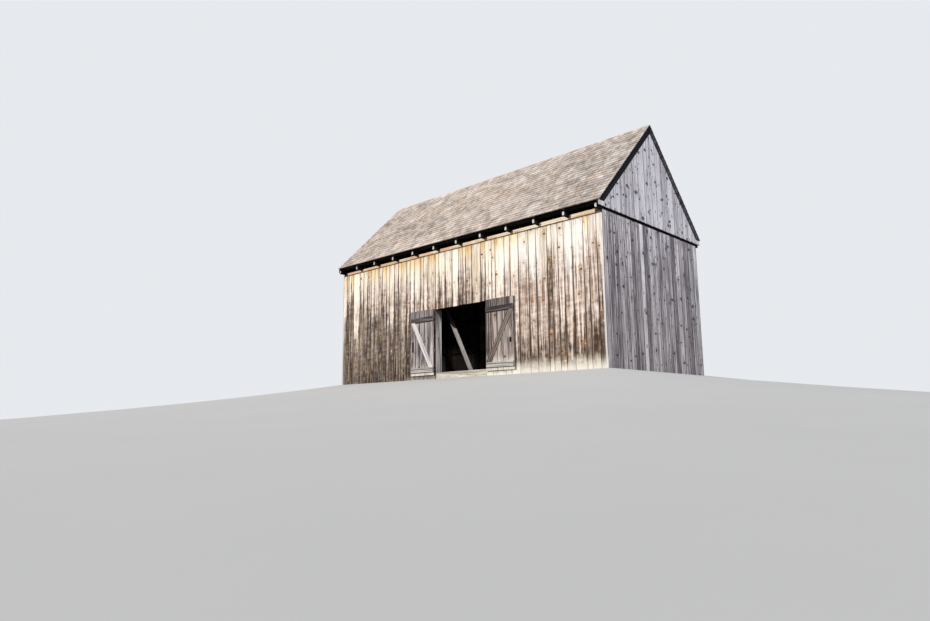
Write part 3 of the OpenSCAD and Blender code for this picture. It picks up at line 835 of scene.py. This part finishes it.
def timbers(node, seed, worn=0.008, hewn=0.004, spacing=0.4):
    """Dressed copies of all solids of a node, in one bmesh."""
    chance = random.Random(seed)
    whole = new_mesh()
    for bm in split_solids(node):
        long_edge = max(bm.edges, key=lambda e: e.calc_length())
        a, b = (v.co.copy() for v in long_edge.verts)
        along = (b - a).normalized()
        if max(along, key=abs) < 0:
            along = -along
        upright = Vector((0, 0, 1) if abs(along.z) < 0.9 else (1, 0, 0))
        side = along.cross(upright).normalized()
        over = side.cross(along)
        middle = sum((v.co for v in bm.verts), Vector()) / len(bm.verts)
        reach = [along.dot(v.co - middle) for v in bm.verts]
        first, last = min(reach), max(reach)
        count = int((last - first) / spacing)
        for i in range(1, count):
            cut(bm, middle + along * (first + (last - first) * i / count), along, cap=False)
        ends = (first + 0.05, last - 0.05)
        for v in bm.verts:
            if ends[0] < along.dot(v.co - middle) < ends[1]:
                radial = (v.co - middle) - along * along.dot(v.co - middle)
                v.co -= radial.normalized() * chance.uniform(0, hewn)
        soften(bm, worn, 0.4)
        shift = Vector((0, 0, chance.uniform(0, 60)))
        pith = Vector((chance.uniform(-0.03, 0.03), chance.uniform(-0.03, 0.03), 0))
        tone, kind = chance.uniform(-1, 1), chance.random()
        for v in bm.verts:
            d = v.co - middle
            w = along.dot(d)
            tag(
                bm, v,
                grain=Vector((side.dot(d), over.dot(d), w)) + shift + pith,
                look=(min(w - first, last - w), tone, kind),
            )
        pour(whole, bm)
    return whole


# %% [markdown]
# The timber finish works in the beam's own space. Noise that is tight across and long in Z makes
# the streaks on the sides. Near the ends the distance from the pith makes growth rings, and the
# angle round it makes the drying cracks, so a joist's sawn end looks like end grain.

# %% Finish for timbers
TIMBER_STOPS = (0.38, 0.5, 0.62)


def tanned(f):
    """Orange patches along the strip under the eave, more of them towards the left."""
    px = f.place()[0]
    patch = f.step(f.noise(px * 1.3, 0, 3.7, 2.0) - px * 0.025, 0.4, 0.62)
    f.coat(patch * f.step(px, 3.6, 2.0) * 0.6, (0.84, 0.45, 0.25))


def hewn_wood(name, dark, main, pale, end, washed=None, below=0.6, blur=0.12, slant=0.0, shade_lines=(),
              painted_peg_hole=None, stop=None, core=None, shine=0.2):
    """Old timber. Where three washed colours are given, they take over below that height, on a
    slant
    across the timber if wanted: bleached wood on the leaves' battens, painted sunlight on the
    brace.
    Dark lines can be painted across it at given heights, as the shade along a batten's edges. A peg
    hole can be given by its place in Y and Z: it is not cut but painted as a dark spot, its shade.
    From stop outwards along X the timber is dark. core is the middle and half the height of the
    pale part of a sawn end."""
    f = Finish(name, shine=shine)
    x, y, z = f.read("grain")
    close, tone, seed = f.read("look")
    px, py, pz = f.place()
    fine = f.noise(x * 60, y * 60, z * 1.5, 5.0, 0.6) - 0.5
    mid = f.noise(x * 14, y * 14, z * 0.8 + seed * 9, 3.0) - 0.5
    slow = f.noise(x * 3, y * 3, z * 0.4, 2.0)
    grain = 0.25 + slow * 0.5 + mid * 0.5 + fine * 0.7 + tone * 0.03
    f.colour = f.ramp(grain, TIMBER_STOPS, dark, main, pale)
    if washed:
        height = pz + mid * blur * 4 - x * slant
        f.coat(f.step(height, below + blur, below - blur), f.ramp(grain, TIMBER_STOPS, *washed))
    # Painted shade: dark lines across the timber along a batten's edges
    for line in shade_lines:
        f.coat(f.near(pz + mid * 0.02, line, 0.008, 0.02) * 0.8, (0.03, 0.026, 0.026))
    if painted_peg_hole:
        f.coat(f.step(py + mid * 0.1, -3.04, -3.0) * 0.6, (0.62, 0.58, 0.54))
        # A painted hole: a dark spot stands for the shade in a peg hole that is not cut
        away = ((py - painted_peg_hole[0]) ** 2 + (pz - painted_peg_hole[1]) ** 2) ** 0.5
        f.coat(f.step(away, 0.042, 0.028) * 0.95, (0.02, 0.017, 0.015))
    if stop:
        tanned(f)
        f.coat(f.step(abs(px), stop, stop + 0.03), (0.06, 0.04, 0.03))
    split = f.near(mid, 0, 0.002, 0.012) * f.step(slow, 0.45, 0.6)
    f.coat(split * 0.7, (0.03, 0.024, 0.02))
    spread = (x * x + y * y) ** 0.5
    rings = ((spread + mid * 0.02) * 520).sine() * 0.5 + 0.5
    around = y.reckon("ARCTAN2", y, x)
    checks = f.step(f.noise(around * 2.2, seed * 9, 0, 1.0), 0.44, 0.36)
    sawn = f.mix(rings * 0.25, end, dark)
    sawn = f.mix(checks * f.step(spread, 0.01, 0.03) * 0.5, sawn, (0.05, 0.04, 0.035))
    if core:
        away = abs(pz + mid * 0.06 - core[0])
        sawn = f.mix(f.step(away, core[1], core[1] + 0.035), sawn, dark)
        sawn = f.mix(f.step(px, 0.0, -6.0) * 0.35, sawn, dark)
    f.coat(f.step(close, 0.012, 0.002), sawn)
    return f.wear(fine * 0.2 + 0.86, fine * 0.5 + mid * 0.8 - split * 1.5, 0.5, 0.008)


# Near black: the frame's own dark weathered colour, darkened much further as painted shade inside
# the barn and on the joists' sides
PAINTED_SHADE_BLACK = ((0.008, 0.007, 0.006), (0.017, 0.014, 0.012), (0.032, 0.026, 0.022))
old_timber = hewn_wood("old_timber", *PAINTED_SHADE_BLACK, (0.1, 0.085, 0.07))
joist_timber = hewn_wood(
    "joist_timber", *PAINTED_SHADE_BLACK, (0.74, 0.71, 0.68), core=(5.0, 0.04), shine=0.05,
)
# Near black wood for the eave's false plates and laths, the door header and the rails behind the
# gable slot: painted as the shade that they stand in
dark_wood = hewn_wood(
    "dark_wood", (0.001, 0.0009, 0.0008), (0.0022, 0.0018, 0.0016), (0.005, 0.004, 0.0035),
    (0.004, 0.0035, 0.003), shine=0.03,
)
plate_timber = hewn_wood(
    "plate_timber", (0.76, 0.53, 0.32), (0.97, 0.77, 0.55), (0.98, 0.88, 0.72),
    (0.05, 0.04, 0.035), stop=CORNER_BOARDS,
)
sill_timber = hewn_wood(
    "sill_timber", (0.3, 0.26, 0.21), (0.56, 0.51, 0.43), (0.74, 0.69, 0.6), (0.5, 0.46, 0.42),
)
post_timber = hewn_wood(
    "post_timber", (0.1, 0.09, 0.083), (0.34, 0.305, 0.285), (0.58, 0.535, 0.505),
    (0.4, 0.37, 0.34), painted_peg_hole=(-3.14, 1.54),
)
# The brace is near black and turns pale below about 2.08 m along a slanted line: painted sunlight
# from the doorway, with the header's shadow edge painted across it
painted_sunlit_brace = hewn_wood(
    "painted_sunlit_brace", *PAINTED_SHADE_BLACK, (0.03, 0.025, 0.022),
    ((0.46, 0.39, 0.35), (0.74, 0.66, 0.61), (0.86, 0.79, 0.73)), 2.08, 0.03, 1.7,
)

# %% Dress the frame
FRAME_TIMBERS = (
    "front_sill", "back_sill", "end_sills", "cross_sills", "corner_posts", "door_posts",
    "front_posts", "back_posts", "end_posts", "front_girts", "back_girts", "end_girts",
    "door_header", "raking_braces", "wall_plates", "tie_joists", "false_plates", "front_rafters",
    "back_rafters", "collar_ties", "gable_rails",
)
FINISHES = {
    "front_sill": sill_timber, "door_posts": post_timber, "door_header": dark_wood,
    "raking_braces": painted_sunlit_brace, "wall_plates": plate_timber, "tie_joists": joist_timber,
    "false_plates": dark_wood, "gable_rails": dark_wood,
}
for seed, node in enumerate(FRAME_TIMBERS):
    slot = node if node in ("wall_plates", "tie_joists") else "frame_timber"
    made = timbers(node, 100 + seed)
    piece(node + "_hewn", made, FINISHES.get(node, old_timber), "barn", slot, node)

# %% [markdown]
# Short boards fill the space between the joists just above the plate. They have kept the same warm
# colour under the eave, so the plate and they show as one bright strip above the siding.

# %% Fill between the joists
BAYS, JOIST = 11, 0.08  # How many spaces there are, and how wide a joist is
HALF_THICK, FILLER_Y = 0.0125, -3.262


def fillers(side, seed):
    """A short board on the plate between each pair of joists, taller towards the right."""
    chance = random.Random(seed)
    low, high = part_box("tie_joists")
    plate_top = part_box("wall_plates")[1].z
    pitch = (high.x - low.x - JOIST) / BAYS
    whole = new_mesh()
    for i in range(BAYS):
        start = low.x + i * pitch + JOIST
        tall = (0.035, 0.05, 0.07)[(i + 3) // 6]
        board = plank(
            (-HALF_THICK, -HALF_THICK, 0),
            (tall - chance.uniform(0, 0.012), HALF_THICK, pitch - JOIST - 0.004),
            chance, chance.uniform(-1, 1), bow=0,
        )
        at = (start + 0.002, FILLER_Y, plate_top + HALF_THICK + 0.0001)
        lie = Matrix(((0, 0, 1, at[0]), (0, 1, 0, at[1]), (1, 0, 0, at[2]), (0, 0, 0, 1)))
        bmesh.ops.transform(board, matrix=lie, verts=board.verts)
        pour(whole, board)
    bmesh.ops.transform(whole, matrix=wall_turn(side), verts=whole.verts)
    return whole


def streaks(f, tight, wide, length):
    """Fine and middling streaks along a sawn board, as noises about 0."""
    x, y, z = f.read("grain")
    fine = f.noise(x * tight, y * tight, z * 1.5, 5.0, 0.6) - 0.5
    return fine, f.noise(x * wide, y * wide, z * length, 3.0) - 0.5


def sawn_strip(name, dark, main, pale):
    """Sawn board colour without knots, for small boards. Their inner faces and the outermost boards
    take the painted shade colour of the barn's inside.
    """
    f = Finish(name)
    fine, mid = streaks(f, 50, 12, 0.7)
    f.colour = f.ramp(0.5 + mid + fine * 0.8, TIMBER_STOPS, dark, main, pale)
    tanned(f)
    outermost = f.step(abs(f.place()[0]), CORNER_BOARDS, CORNER_BOARDS + 0.03)
    # Painted shade: inner faces, and the outermost boards, take the dark colour of the inside
    f.coat(f.inward().most(outermost), INSIDE_SHADE)
    return f.wear(fine * 0.2 + 0.88, fine, 0.4, 0.005)


filler_wood = sawn_strip("filler_wood", (0.76, 0.53, 0.32), (0.97, 0.76, 0.54), (0.98, 0.87, 0.69))
for seed, side in enumerate(("front", "back")):
    piece(side + "_joist_fillers", fillers(side, 130 + seed), filler_wood, "barn", "wall_plates")

# %% [markdown]
# ## Rake boards
# A dark board runs up each slope over the gable boards' ends and closes the gap under the shingles.
# It is thin and sawn, so it gets the timber treatment with hardly any unevenness. The front one is
# painted almost black and the one behind the ridge greyer: painted shade under the shingles' edge,
# deeper in front.

# %% Dress the rake boards
def rake_board(name):
    f = Finish(name, shine=0.1)
    fine, mid = streaks(f, 60, 14, 0.8)
    black, grey = (f.ramp(0.5 + mid + fine * 0.8, (0.38, 0.5, 0.64), *colours) for colours in (
        ((0.003, 0.003, 0.005), (0.007, 0.007, 0.011), (0.016, 0.016, 0.024)),
        ((0.02, 0.02, 0.025), (0.05, 0.05, 0.06), (0.11, 0.11, 0.125)),
    ))
    # Painted shade: almost black in front of the ridge, greyer behind it
    f.colour = f.mix(f.step(f.place()[1], -0.05, 0.05), black, grey)
    return f.wear(fine * 0.15 + 0.875, fine * 0.5 + mid * 0.8, 0.4, 0.005)


rake_wood = rake_board("rake_wood")
for seed, side in enumerate(("left", "right")):
    made = timbers(side + "_rake_boards", 140 + seed, worn=0.003, hewn=0.0015)
    piece(side + "_rakes_sawn", made, rake_wood, "barn", "rake_boards", side + "_rake_boards")


# %% [markdown]
# ## The roof
# Split shingles are laid in courses from the eave up. Each one is a thin wedge, thick at its butt,
# and the next course covers all but the lowest 19 cm of it. A slope is built flat, with X along the
# eave, Y up the slope and Z out of the roof, and is then laid on the rafters by one matrix. There
# are thousands of shingles, so each is only a tapered cube with six faces.

# %% The slope's own frame
def slope_frame(node):
    """The matrix that lays a flat roof on a slope, and the slope's length and half width."""
    low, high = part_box(node)
    front = low.y < -1
    lay = Matrix.Translation((0, low.y if front else -high.y, high.z - (high.y - low.y)))
    lay = lay @ Matrix.Rotation(math.radians(45), 4, "X")
    if not front:
        lay = Matrix.Rotation(math.pi, 4, "Z") @ lay
    return lay, (high.y - low.y) * 2 ** 0.5, high.x


COURSE = 0.1936  # How much of each shingle the next course leaves open
BUTT, TIP, LENGTH = 0.0145, 0.004, 0.4  # Thickness at both ends, and length
NARROWEST, WIDEST = 0.085, 0.185
STARTER_LENGTH, STARTER_SINK = 0.2, 0.0165


def shingle(bm, x, width, butt, length, chance, sink):
    """One wedge, with its butt at Y = butt and its face sinking under the next course."""
    twist = Matrix.Rotation(chance.uniform(-0.008, 0.008), 4, "Z")
    middle = Vector((x + width / 2, butt + length / 2, 0))
    size = Vector((width - chance.uniform(0.003, 0.008), length, 1))
    made = bmesh.ops.create_cube(
        bm, size=1, matrix=Matrix.Translation(middle) @ twist @ Matrix.Diagonal((*size, 1))
    )["verts"]
    lift = chance.uniform(0, 0.003)
    cup = chance.uniform(-0.0015, 0.0015)
    thick = BUTT - chance.uniform(0, 0.004)
    tone, seed = chance.uniform(-1, 1), chance.random()
    shift = Vector((seed * 40, chance.uniform(0, 40), 0))
    for v in made:
        up_share = min(1, max(0, (v.co.y - butt) / length))
        below = v.co.z < 0
        rise = -sink - lift - (v.co.y - butt) * BUTT / COURSE
        rise += cup if v.co.x > middle.x else 0
        flat = Vector((v.co.x - middle.x, v.co.y - butt, 0))
        v.co.z = min(0, rise) - (thick * (1 - up_share) + TIP * up_share if below else 0)
        tag(bm, v, grain=flat + shift, look=(v.co.y - butt, tone, seed))


def shingled(node, seed):
    """All courses of one slope, mitred at the ridge."""
    lay, slope, half = slope_frame(node)
    chance = random.Random(seed)
    roof = new_mesh()
    laid = 0
    course = -1
    while course * COURSE < slope - 0.05:
        butt = max(0, course * COURSE) + chance.uniform(0, 0.002)
        starter = course < 0
        x = -half
        while x < half - 0.001:
            width = min(chance.uniform(NARROWEST, WIDEST), half - x)
            if half - x - width < 0.05:
                width = half - x
            own = butt + (chance.uniform(-0.008, 0.008) if course > 0 else chance.uniform(0, 0.004))
            length = min(LENGTH + chance.uniform(-0.01, 0.01), slope - 0.002 - own)
            length, sink = (STARTER_LENGTH, STARTER_SINK) if starter else (length, 0)
            shingle(roof, x, width, own, length, chance, sink)
            x += width
            laid += 1
        course += 1
    bmesh.ops.transform(roof, matrix=lay, verts=roof.verts)
    side = -1 if lay.translation.y < 0 else 1
    for v in roof.verts:
        if v.co.y * side < 0:
            v.co.y = 0
    print(node, "shingles:", laid)
    return roof


# %% [markdown]
# New shingles are tan, and each weathers in its own way: most to a light brown grey, some pinkish,
# a few nearly black with lichen or damp. So the colour comes first from each shingle's own tone,
# and only then from noise. Streaks run up the slope with the split grain. The lowest centimetre of
# each shingle's face is a little darker. The butt faces, which look down the slope, and the ends
# that face the gables are painted dark as the shade that they stand in.

# %% Finish for shingles
def split_shingles(name):
    f = Finish(name)
    gx, gy, _ = f.read("grain")
    up_, tone, seed = f.read("look")
    px, py, pz = f.place()
    patches = f.noise(px * 0.5, py * 0.7, pz * 0.7, 3.0) - 0.5
    blots = f.noise(px * 2.2, py * 2.4, pz * 2.4, 3.0, 0.7) - 0.5
    fine = f.noise(gx * 90, gy * 6, seed * 9, 5.0, 0.6) - 0.5
    mid = f.noise(gx * 24, gy * 4, seed * 9, 2.0) - 0.5
    worn = f.step(px + patches * 14, 1.0, 7.5) * 0.07
    kind = 0.51 + tone * 0.09 + patches * 0.5 + blots * 1.1 + mid * 0.3 - worn
    f.colour = f.ramp(
        kind, (0.2, 0.38, 0.52, 0.68, 0.85), (0.24, 0.203, 0.175), (0.4, 0.337, 0.29),
        (0.565, 0.48, 0.413), (0.7, 0.597, 0.523), (0.83, 0.742, 0.664),
    )
    grey = f.shade((0.6, 0.57, 0.55), kind * 1.75)
    f.coat(f.step(seed + blots * 1.5, 0.5, 0.8) * 0.35 + worn * 5, grey)
    f.coat(f.step(seed, 0.16, 0.08) * 0.45, (0.42, 0.29, 0.2))
    f.coat(f.step(fine, 0.02, 0.18) * 0.3, (0.26, 0.21, 0.18))
    f.coat(f.step(up_, 0.012, 0.0) * 0.12, (0.2, 0.165, 0.145))
    nx, _, nz = f.facing()
    # Painted shade on the shingles' ends that face the gables
    f.coat(f.step(abs(nx), 0.6, 0.8) * 0.9, (0.03, 0.028, 0.03))
    # Painted shade on the butt faces, which look down the slope
    f.coat(f.step(nz, 0.3, 0.1) * 0.4, (0.16, 0.13, 0.11))
    return f.wear(fine * 0.18 + 0.89, fine * 0.8 + mid * 0.6, 0.5, 0.004)


shingle_finish = split_shingles("split_shingles")
for seed, side in enumerate(("front", "back")):
    node = side + "_shingles"
    made = shingled(node, 200 + seed)
    piece(side + "_roof_shingles", made, shingle_finish, "barn", "shingles", node)

# %% [markdown]
# Under the shingles lie the laths that they are nailed to: long sawn strips with open gaps. From
# the ground they show only at the eave and from inside the barn. They are painted near black, as
# the shade that they lie in.

# %% Lay the laths
UNDER_SHINGLES = 0.035


def laths(node, roof_node, seed):
    lay, slope, _ = slope_frame(roof_node)
    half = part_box(node)[1].x
    chance = random.Random(seed)
    whole = new_mesh()
    start = 0.004
    while start < slope - 0.2:
        width = chance.uniform(0.1, 0.125)
        strip = plank(
            (start, 0, -half), (start + width, 0.0245, half - 0.001), chance,
            chance.uniform(-1, 1), bow=0,
        )
        pour(whole, strip)
        start += width + chance.uniform(0.045, 0.06)
    lie = Matrix(((0, 0, 1, 0), (1, 0, 0, 0), (0, -1, 0, -UNDER_SHINGLES), (0, 0, 0, 1)))
    bmesh.ops.transform(whole, matrix=lay @ lie, verts=whole.verts)
    return whole


for seed, side in enumerate(("front", "back")):
    made = laths(side + "_lathing", side + "_shingles", 210 + seed)
    piece(side + "_laths", made, dark_wood, "barn", "lathing", side + "_lathing")

# %% [markdown]
# ## The door leaves
# Each leaf is the plainest kind there is: upright boards held by two battens and a brace that
# carries the free edge's weight down to the lower hinge. Both stand open, flat back against the
# wall, so the battens show. Each leaf has a slot near its free edge to pull it by.

# %% Finish for the leaves
# Place in X and Z, half width and half height of the worn patches and of the painted shade round
# the hand slots
WORN = ((-2.03, 1.25, 0.05, 0.4), (2.93, 1.38, 0.07, 0.16), (3.08, 2.56, 0.08, 0.2))
SLOT_SHADE_RIMS = ((-1.95, 1.28, 0.055, 0.19), (2.985, 1.18, 0.045, 0.07))
# Heights of the painted shadow lines under the battens
BATTEN_SHADOWS = (0.27, 2.212)


def leaf_wood(name):
    """Boards of a leaf. Their wear vector holds the warmth and the height of the bleached foot."""
    f = Finish(name)
    w = sawn_grain(f, 0.4)
    px, py, height = f.place()
    warmth, foot, _ = f.read("wear")
    grain = 0.5 + w.mid + w.fine * 0.8 + w.slow * 0.5 + w.tone * 0.09
    cool, brown = (f.ramp(grain, (0.36, 0.5, 0.66), *colours) for colours in (
        ((0.09, 0.078, 0.083), (0.29, 0.255, 0.26), (0.6, 0.54, 0.54)),
        ((0.05, 0.038, 0.032), (0.195, 0.152, 0.13), (0.47, 0.385, 0.34)),
    ))
    f.colour = f.mix(warmth, cool, brown)
    washed = f.step(height + w.mid * 0.9 - foot, 0.18, -0.12)
    f.coat(washed * 0.8, f.ramp(grain, (0.4, 0.52), (0.44, 0.4, 0.37), (0.7, 0.66, 0.6)))
    upper = f.step(height + w.patch * 0.3, 2.34, 2.42)
    f.colour = f.shade(f.colour, 1 - upper * (0.3 + warmth * 0.15))
    for x, z, wide, tall in WORN:
        away = ((px - x) / wide) ** 2 + ((height - z) / tall) ** 2 + w.mid * 2
        f.coat(f.step(away, 2.0, 0.0) * 0.6, (0.6, 0.56, 0.52))
    foot_band = f.step(height + w.mid * 0.05, 0.27, 0.25)
    f.coat(foot_band * 0.7, (0.68, 0.65, 0.57))
    f.coat(w.near * 0.35, (0.2, 0.14, 0.1))
    f.coat(w.knot * 0.85, (0.05, 0.04, 0.035))
    f.coat(w.joint * (0.85 - washed * 0.6) * (1 - foot_band), (0.04, 0.032, 0.03))
    # Painted shade: dark rims round the hand slots, so that the slots show dark
    for x, z, wide, tall in SLOT_SHADE_RIMS:
        rim = f.near(px, x, wide - 0.01, wide + 0.02) * f.near(height, z, tall, tall + 0.03)
        f.coat(rim * 0.96, (0.016, 0.011, 0.009))
    # Painted shadows: dark lines under the battens, on the battens' side only
    for line in BATTEN_SHADOWS:
        under = f.near(height + w.mid * 0.02, line, 0.012, 0.024)
        f.coat(under * f.step(py, -3.35, -3.36) * 0.85, (0.03, 0.025, 0.024))
    # Painted shade on the boards' edge faces, which look along X
    f.coat(f.step(abs(f.facing()[0]), 0.6, 0.8) * 0.9, (0.012, 0.01, 0.009))
    return sawn_wear(f, w, 0)


leaf_boards = leaf_wood("leaf_boards")
# The battens carry painted shadow lines along their edges, and are bleached pale below 1.2 m
leaf_battens = hewn_wood(
    "leaf_battens", (0.026, 0.021, 0.022), (0.075, 0.062, 0.064), (0.2, 0.17, 0.17),
    (0.2, 0.17, 0.17), ((0.22, 0.2, 0.19), (0.44, 0.41, 0.38), (0.6, 0.57, 0.53)), 1.2,
    shade_lines=(2.238, 0.4),
)
pale_brace = hewn_wood(
    "pale_brace", (0.36, 0.32, 0.31), (0.63, 0.585, 0.575), (0.8, 0.755, 0.745), (0.6, 0.54, 0.5),
)
grey_brace = hewn_wood(
    "grey_brace", (0.05, 0.038, 0.031), (0.12, 0.095, 0.078), (0.25, 0.205, 0.17),
    (0.3, 0.26, 0.22),
)

# %% Build the leaves
# Width, height, distance from the free edge and middle above the ground of each hand slot
SLOTS = {"left": (0.045, 0.34, 0.09, 1.3), "right": (0.045, 0.11, 0.15, 1.18)}
WARMTH_AND_FOOT = {"left": (0.15, 0.42, 0), "right": (0.85, 0.55, 0)}
JOINTS, GAP = (0, 0.262, 0.5, 0.765, 1.03), 0.002


def leaf(side, seed):
    """The boards of one leaf, with its hand slot in the board at the free edge."""
    chance = random.Random(seed)
    low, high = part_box(side + "_door_boards")
    wide, tall, inset, middle = SLOTS[side]
    free, sign = (low.x, 1) if side == "left" else (high.x, -1)
    edges = [free + sign * s for s in (*JOINTS, high.x - low.x)]
    first, last = sorted((free + sign * inset, free + sign * (inset + wide)))
    hole = ((first, 0, middle - tall / 2), (last, 0, middle + tall / 2))
    whole = new_mesh()
    for i, pair in enumerate(zip(edges, edges[1:])):
        a, b = sorted(pair)
        board = plank(
            (a + GAP, low.y, low.z + chance.uniform(0, 0.008)),
            (b - GAP, high.y - 0.0005, high.z - chance.uniform(0, 0.012)),
            chance, chance.uniform(-1, 1), WARMTH_AND_FOOT[side], 0, None if i else hole,
        )
        pour(whole, board)
    return whole


for seed, side in enumerate(("left", "right")):
    door = side + "_door"
    made = leaf(side, 300 + seed)
    piece(side + "_leaf_boards", made, leaf_boards, door, "door_boards", door + "_boards")
    made = timbers(door + "_battens", 310 + seed, worn=0.004, hewn=0.002)
    piece(side + "_leaf_battens", made, leaf_battens, door, "door_boards", door + "_battens")
    made = timbers(door + "_brace", 320 + seed, worn=0.004, hewn=0.002)
    brace = pale_brace if side == "left" else grey_brace
    piece(side + "_leaf_brace", made, brace, door, "door_braces", door + "_brace")


# %% [markdown]
# ## Iron
# The leaves hang on wrought straps whose eyes drop over pins. The smith drew the straps thinner
# towards their ends, so a copy of each plain strap is tapered away from its pin. The finish is
# dark scale with rust showing through where the iron is worn.

# %% Finish for iron
def rusty_iron(name):
    f = Finish(name, roughness=0.7, metallic=0.35)
    x, y, z = f.place()
    rust = f.noise(x * 45, y * 45, z * 45, 5.0, 0.65)
    rusted = f.step(rust, 0.46, 0.62)
    f.colour = f.mix(rusted, (0.055, 0.045, 0.04), (0.19, 0.085, 0.04))
    f.coat(f.step(rust, 0.6, 0.75), (0.3, 0.14, 0.06))
    return f.wear(rusted * 0.35 + 0.55, rust, 0.4, 0.002)


iron = rusty_iron("rusty_iron")


# %% Build the straps and pins
EYE_SHARE, TIP_SHARE = 0.06, 0.97  # Shares of a strap where its eye ends and its tip begins


def strap_mesh(side):
    """Copies of a leaf's straps, drawn out thinner and rounded towards the free end."""
    low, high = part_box(side + "_door_straps")
    pin = high.x if side == "left" else low.x
    free = low.x if side == "left" else high.x
    whole = new_mesh()
    for bm in split_solids(side + "_door_straps"):
        middle = (min(v.co.z for v in bm.verts) + max(v.co.z for v in bm.verts)) / 2
        for i in range(1, 16):
            cut(bm, (pin + (free - pin) * i / 16, 0, 0), (1, 0, 0), cap=False)
        for v in bm.verts:
            share = (v.co.x - pin) / (free - pin)
            if share > EYE_SHARE:
                narrow = 1 - 0.45 * (share - EYE_SHARE)
                if share > TIP_SHARE:
                    narrow *= 0.45
                v.co.z = middle + (v.co.z - middle) * narrow
        soften(bm, 0.0012, 0.5)
        pour(whole, bm)
    return whole


def studs(places, normal, radius=0.008, height=0.004):
    """Nail heads: low cones on a face, each with a few faces."""
    whole = new_mesh()
    stand = Vector(normal).to_track_quat("Z", "Y").to_matrix().to_4x4()
    for place in places:
        centre = Vector(place) + Vector(normal) * (height / 2 - 0.0005)
        bmesh.ops.create_cone(
            whole, cap_ends=True, segments=6, radius1=radius, radius2=radius * 0.4,
            depth=height, matrix=Matrix.Translation(centre) @ stand,
        )
    return whole


for side in ("left", "right"):
    door = side + "_door"
    piece(side + "_leaf_straps", strap_mesh(side), iron, door, "hinge_iron", door + "_straps")
    whole = new_mesh()
    for bm in split_solids(door + "_pintles"):
        soften(bm, 0.001, 0.7)
        pour(whole, bm)
    piece(side + "_hinge_pins", whole, iron, "barn", "hinge_iron", door + "_pintles")

# %% [markdown]
# ## Nails
# Two nails hold each board wherever it crosses a sill, girt or plate, and rows of nails clench the
# leaves' battens. The heads are hand cut, about 16 mm wide, and few faces are enough for them. The
# table of walls is gone through once more, so each wall's nails follow its own joints.

# %% Drive the nails
NAIL_SHARES = (0.19, 0.81)  # Where across a board its two nails are


def wall_nails(name, side, joints, rows, seed, roof):
    """Nail heads on a wall's boards, at the heights of the timbers behind."""
    chance = random.Random(seed)
    low, high = wall_box(name + "_boards", side)
    places = []
    start = low.x
    for end in joints:
        for row in rows:
            for share in NAIL_SHARES:
                x = start + (min(end, high.x) - start) * share + chance.uniform(-0.008, 0.008)
                z = row + chance.uniform(-0.015, 0.015)
                if z < high.z - 0.03 and (not roof or z < PEAK - abs(x) - 0.12):
                    places.append((x, low.y + 0.0035, z))
        start = end
    whole = studs(places, (0, -1, 0))
    bmesh.ops.transform(whole, matrix=wall_turn(side), verts=whole.verts)
    piece(name + "_nails", whole, iron, "barn", "hinge_iron")


OTHER_ROWS = {
    "over_door": (2.75, 3.3, 4.8), "right_gable": GABLE_ROWS, "left_gable": GABLE_ROWS,
}
NAIL_SEEDS = (31, 32, 33, 36, 34, 37, 35, 38)
for seed, (name, side, _, _, joints, _, options) in zip(NAIL_SEEDS, WALLS):
    wall_nails(name, side, joints, OTHER_ROWS.get(name, NAIL_ROWS), seed, "roof" in options)

# %% Nail the leaves
for side in ("left", "right"):
    low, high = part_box(side + "_door_battens")
    places = []
    chance = random.Random(40)
    for z in (low.z + 0.05, low.z + 0.13, high.z - 0.13, high.z - 0.05):
        for i in range(10):
            x = low.x + 0.06 + (high.x - low.x - 0.12) * i / 9 + chance.uniform(-0.01, 0.01)
            places.append((x, low.y + 0.0015, z + chance.uniform(-0.008, 0.008)))
    whole = studs(places, (0, -1, 0), 0.007)
    piece(side + "_leaf_nails", whole, iron, side + "_door", "hinge_iron")

# %% Print the sizes and finish
shown = [n for n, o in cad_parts.items() if not o.hide_render]
print("plain nodes left:", shown)
sizes = {"cad": [list(c) for c in cad_box], "visual": [list(c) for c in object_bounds()]}
print("grown by, in mm:", [
    [round((v - c) * 1000, 1) for v, c in zip(sizes["visual"][i], sizes["cad"][i])] for i in (0, 1)
])
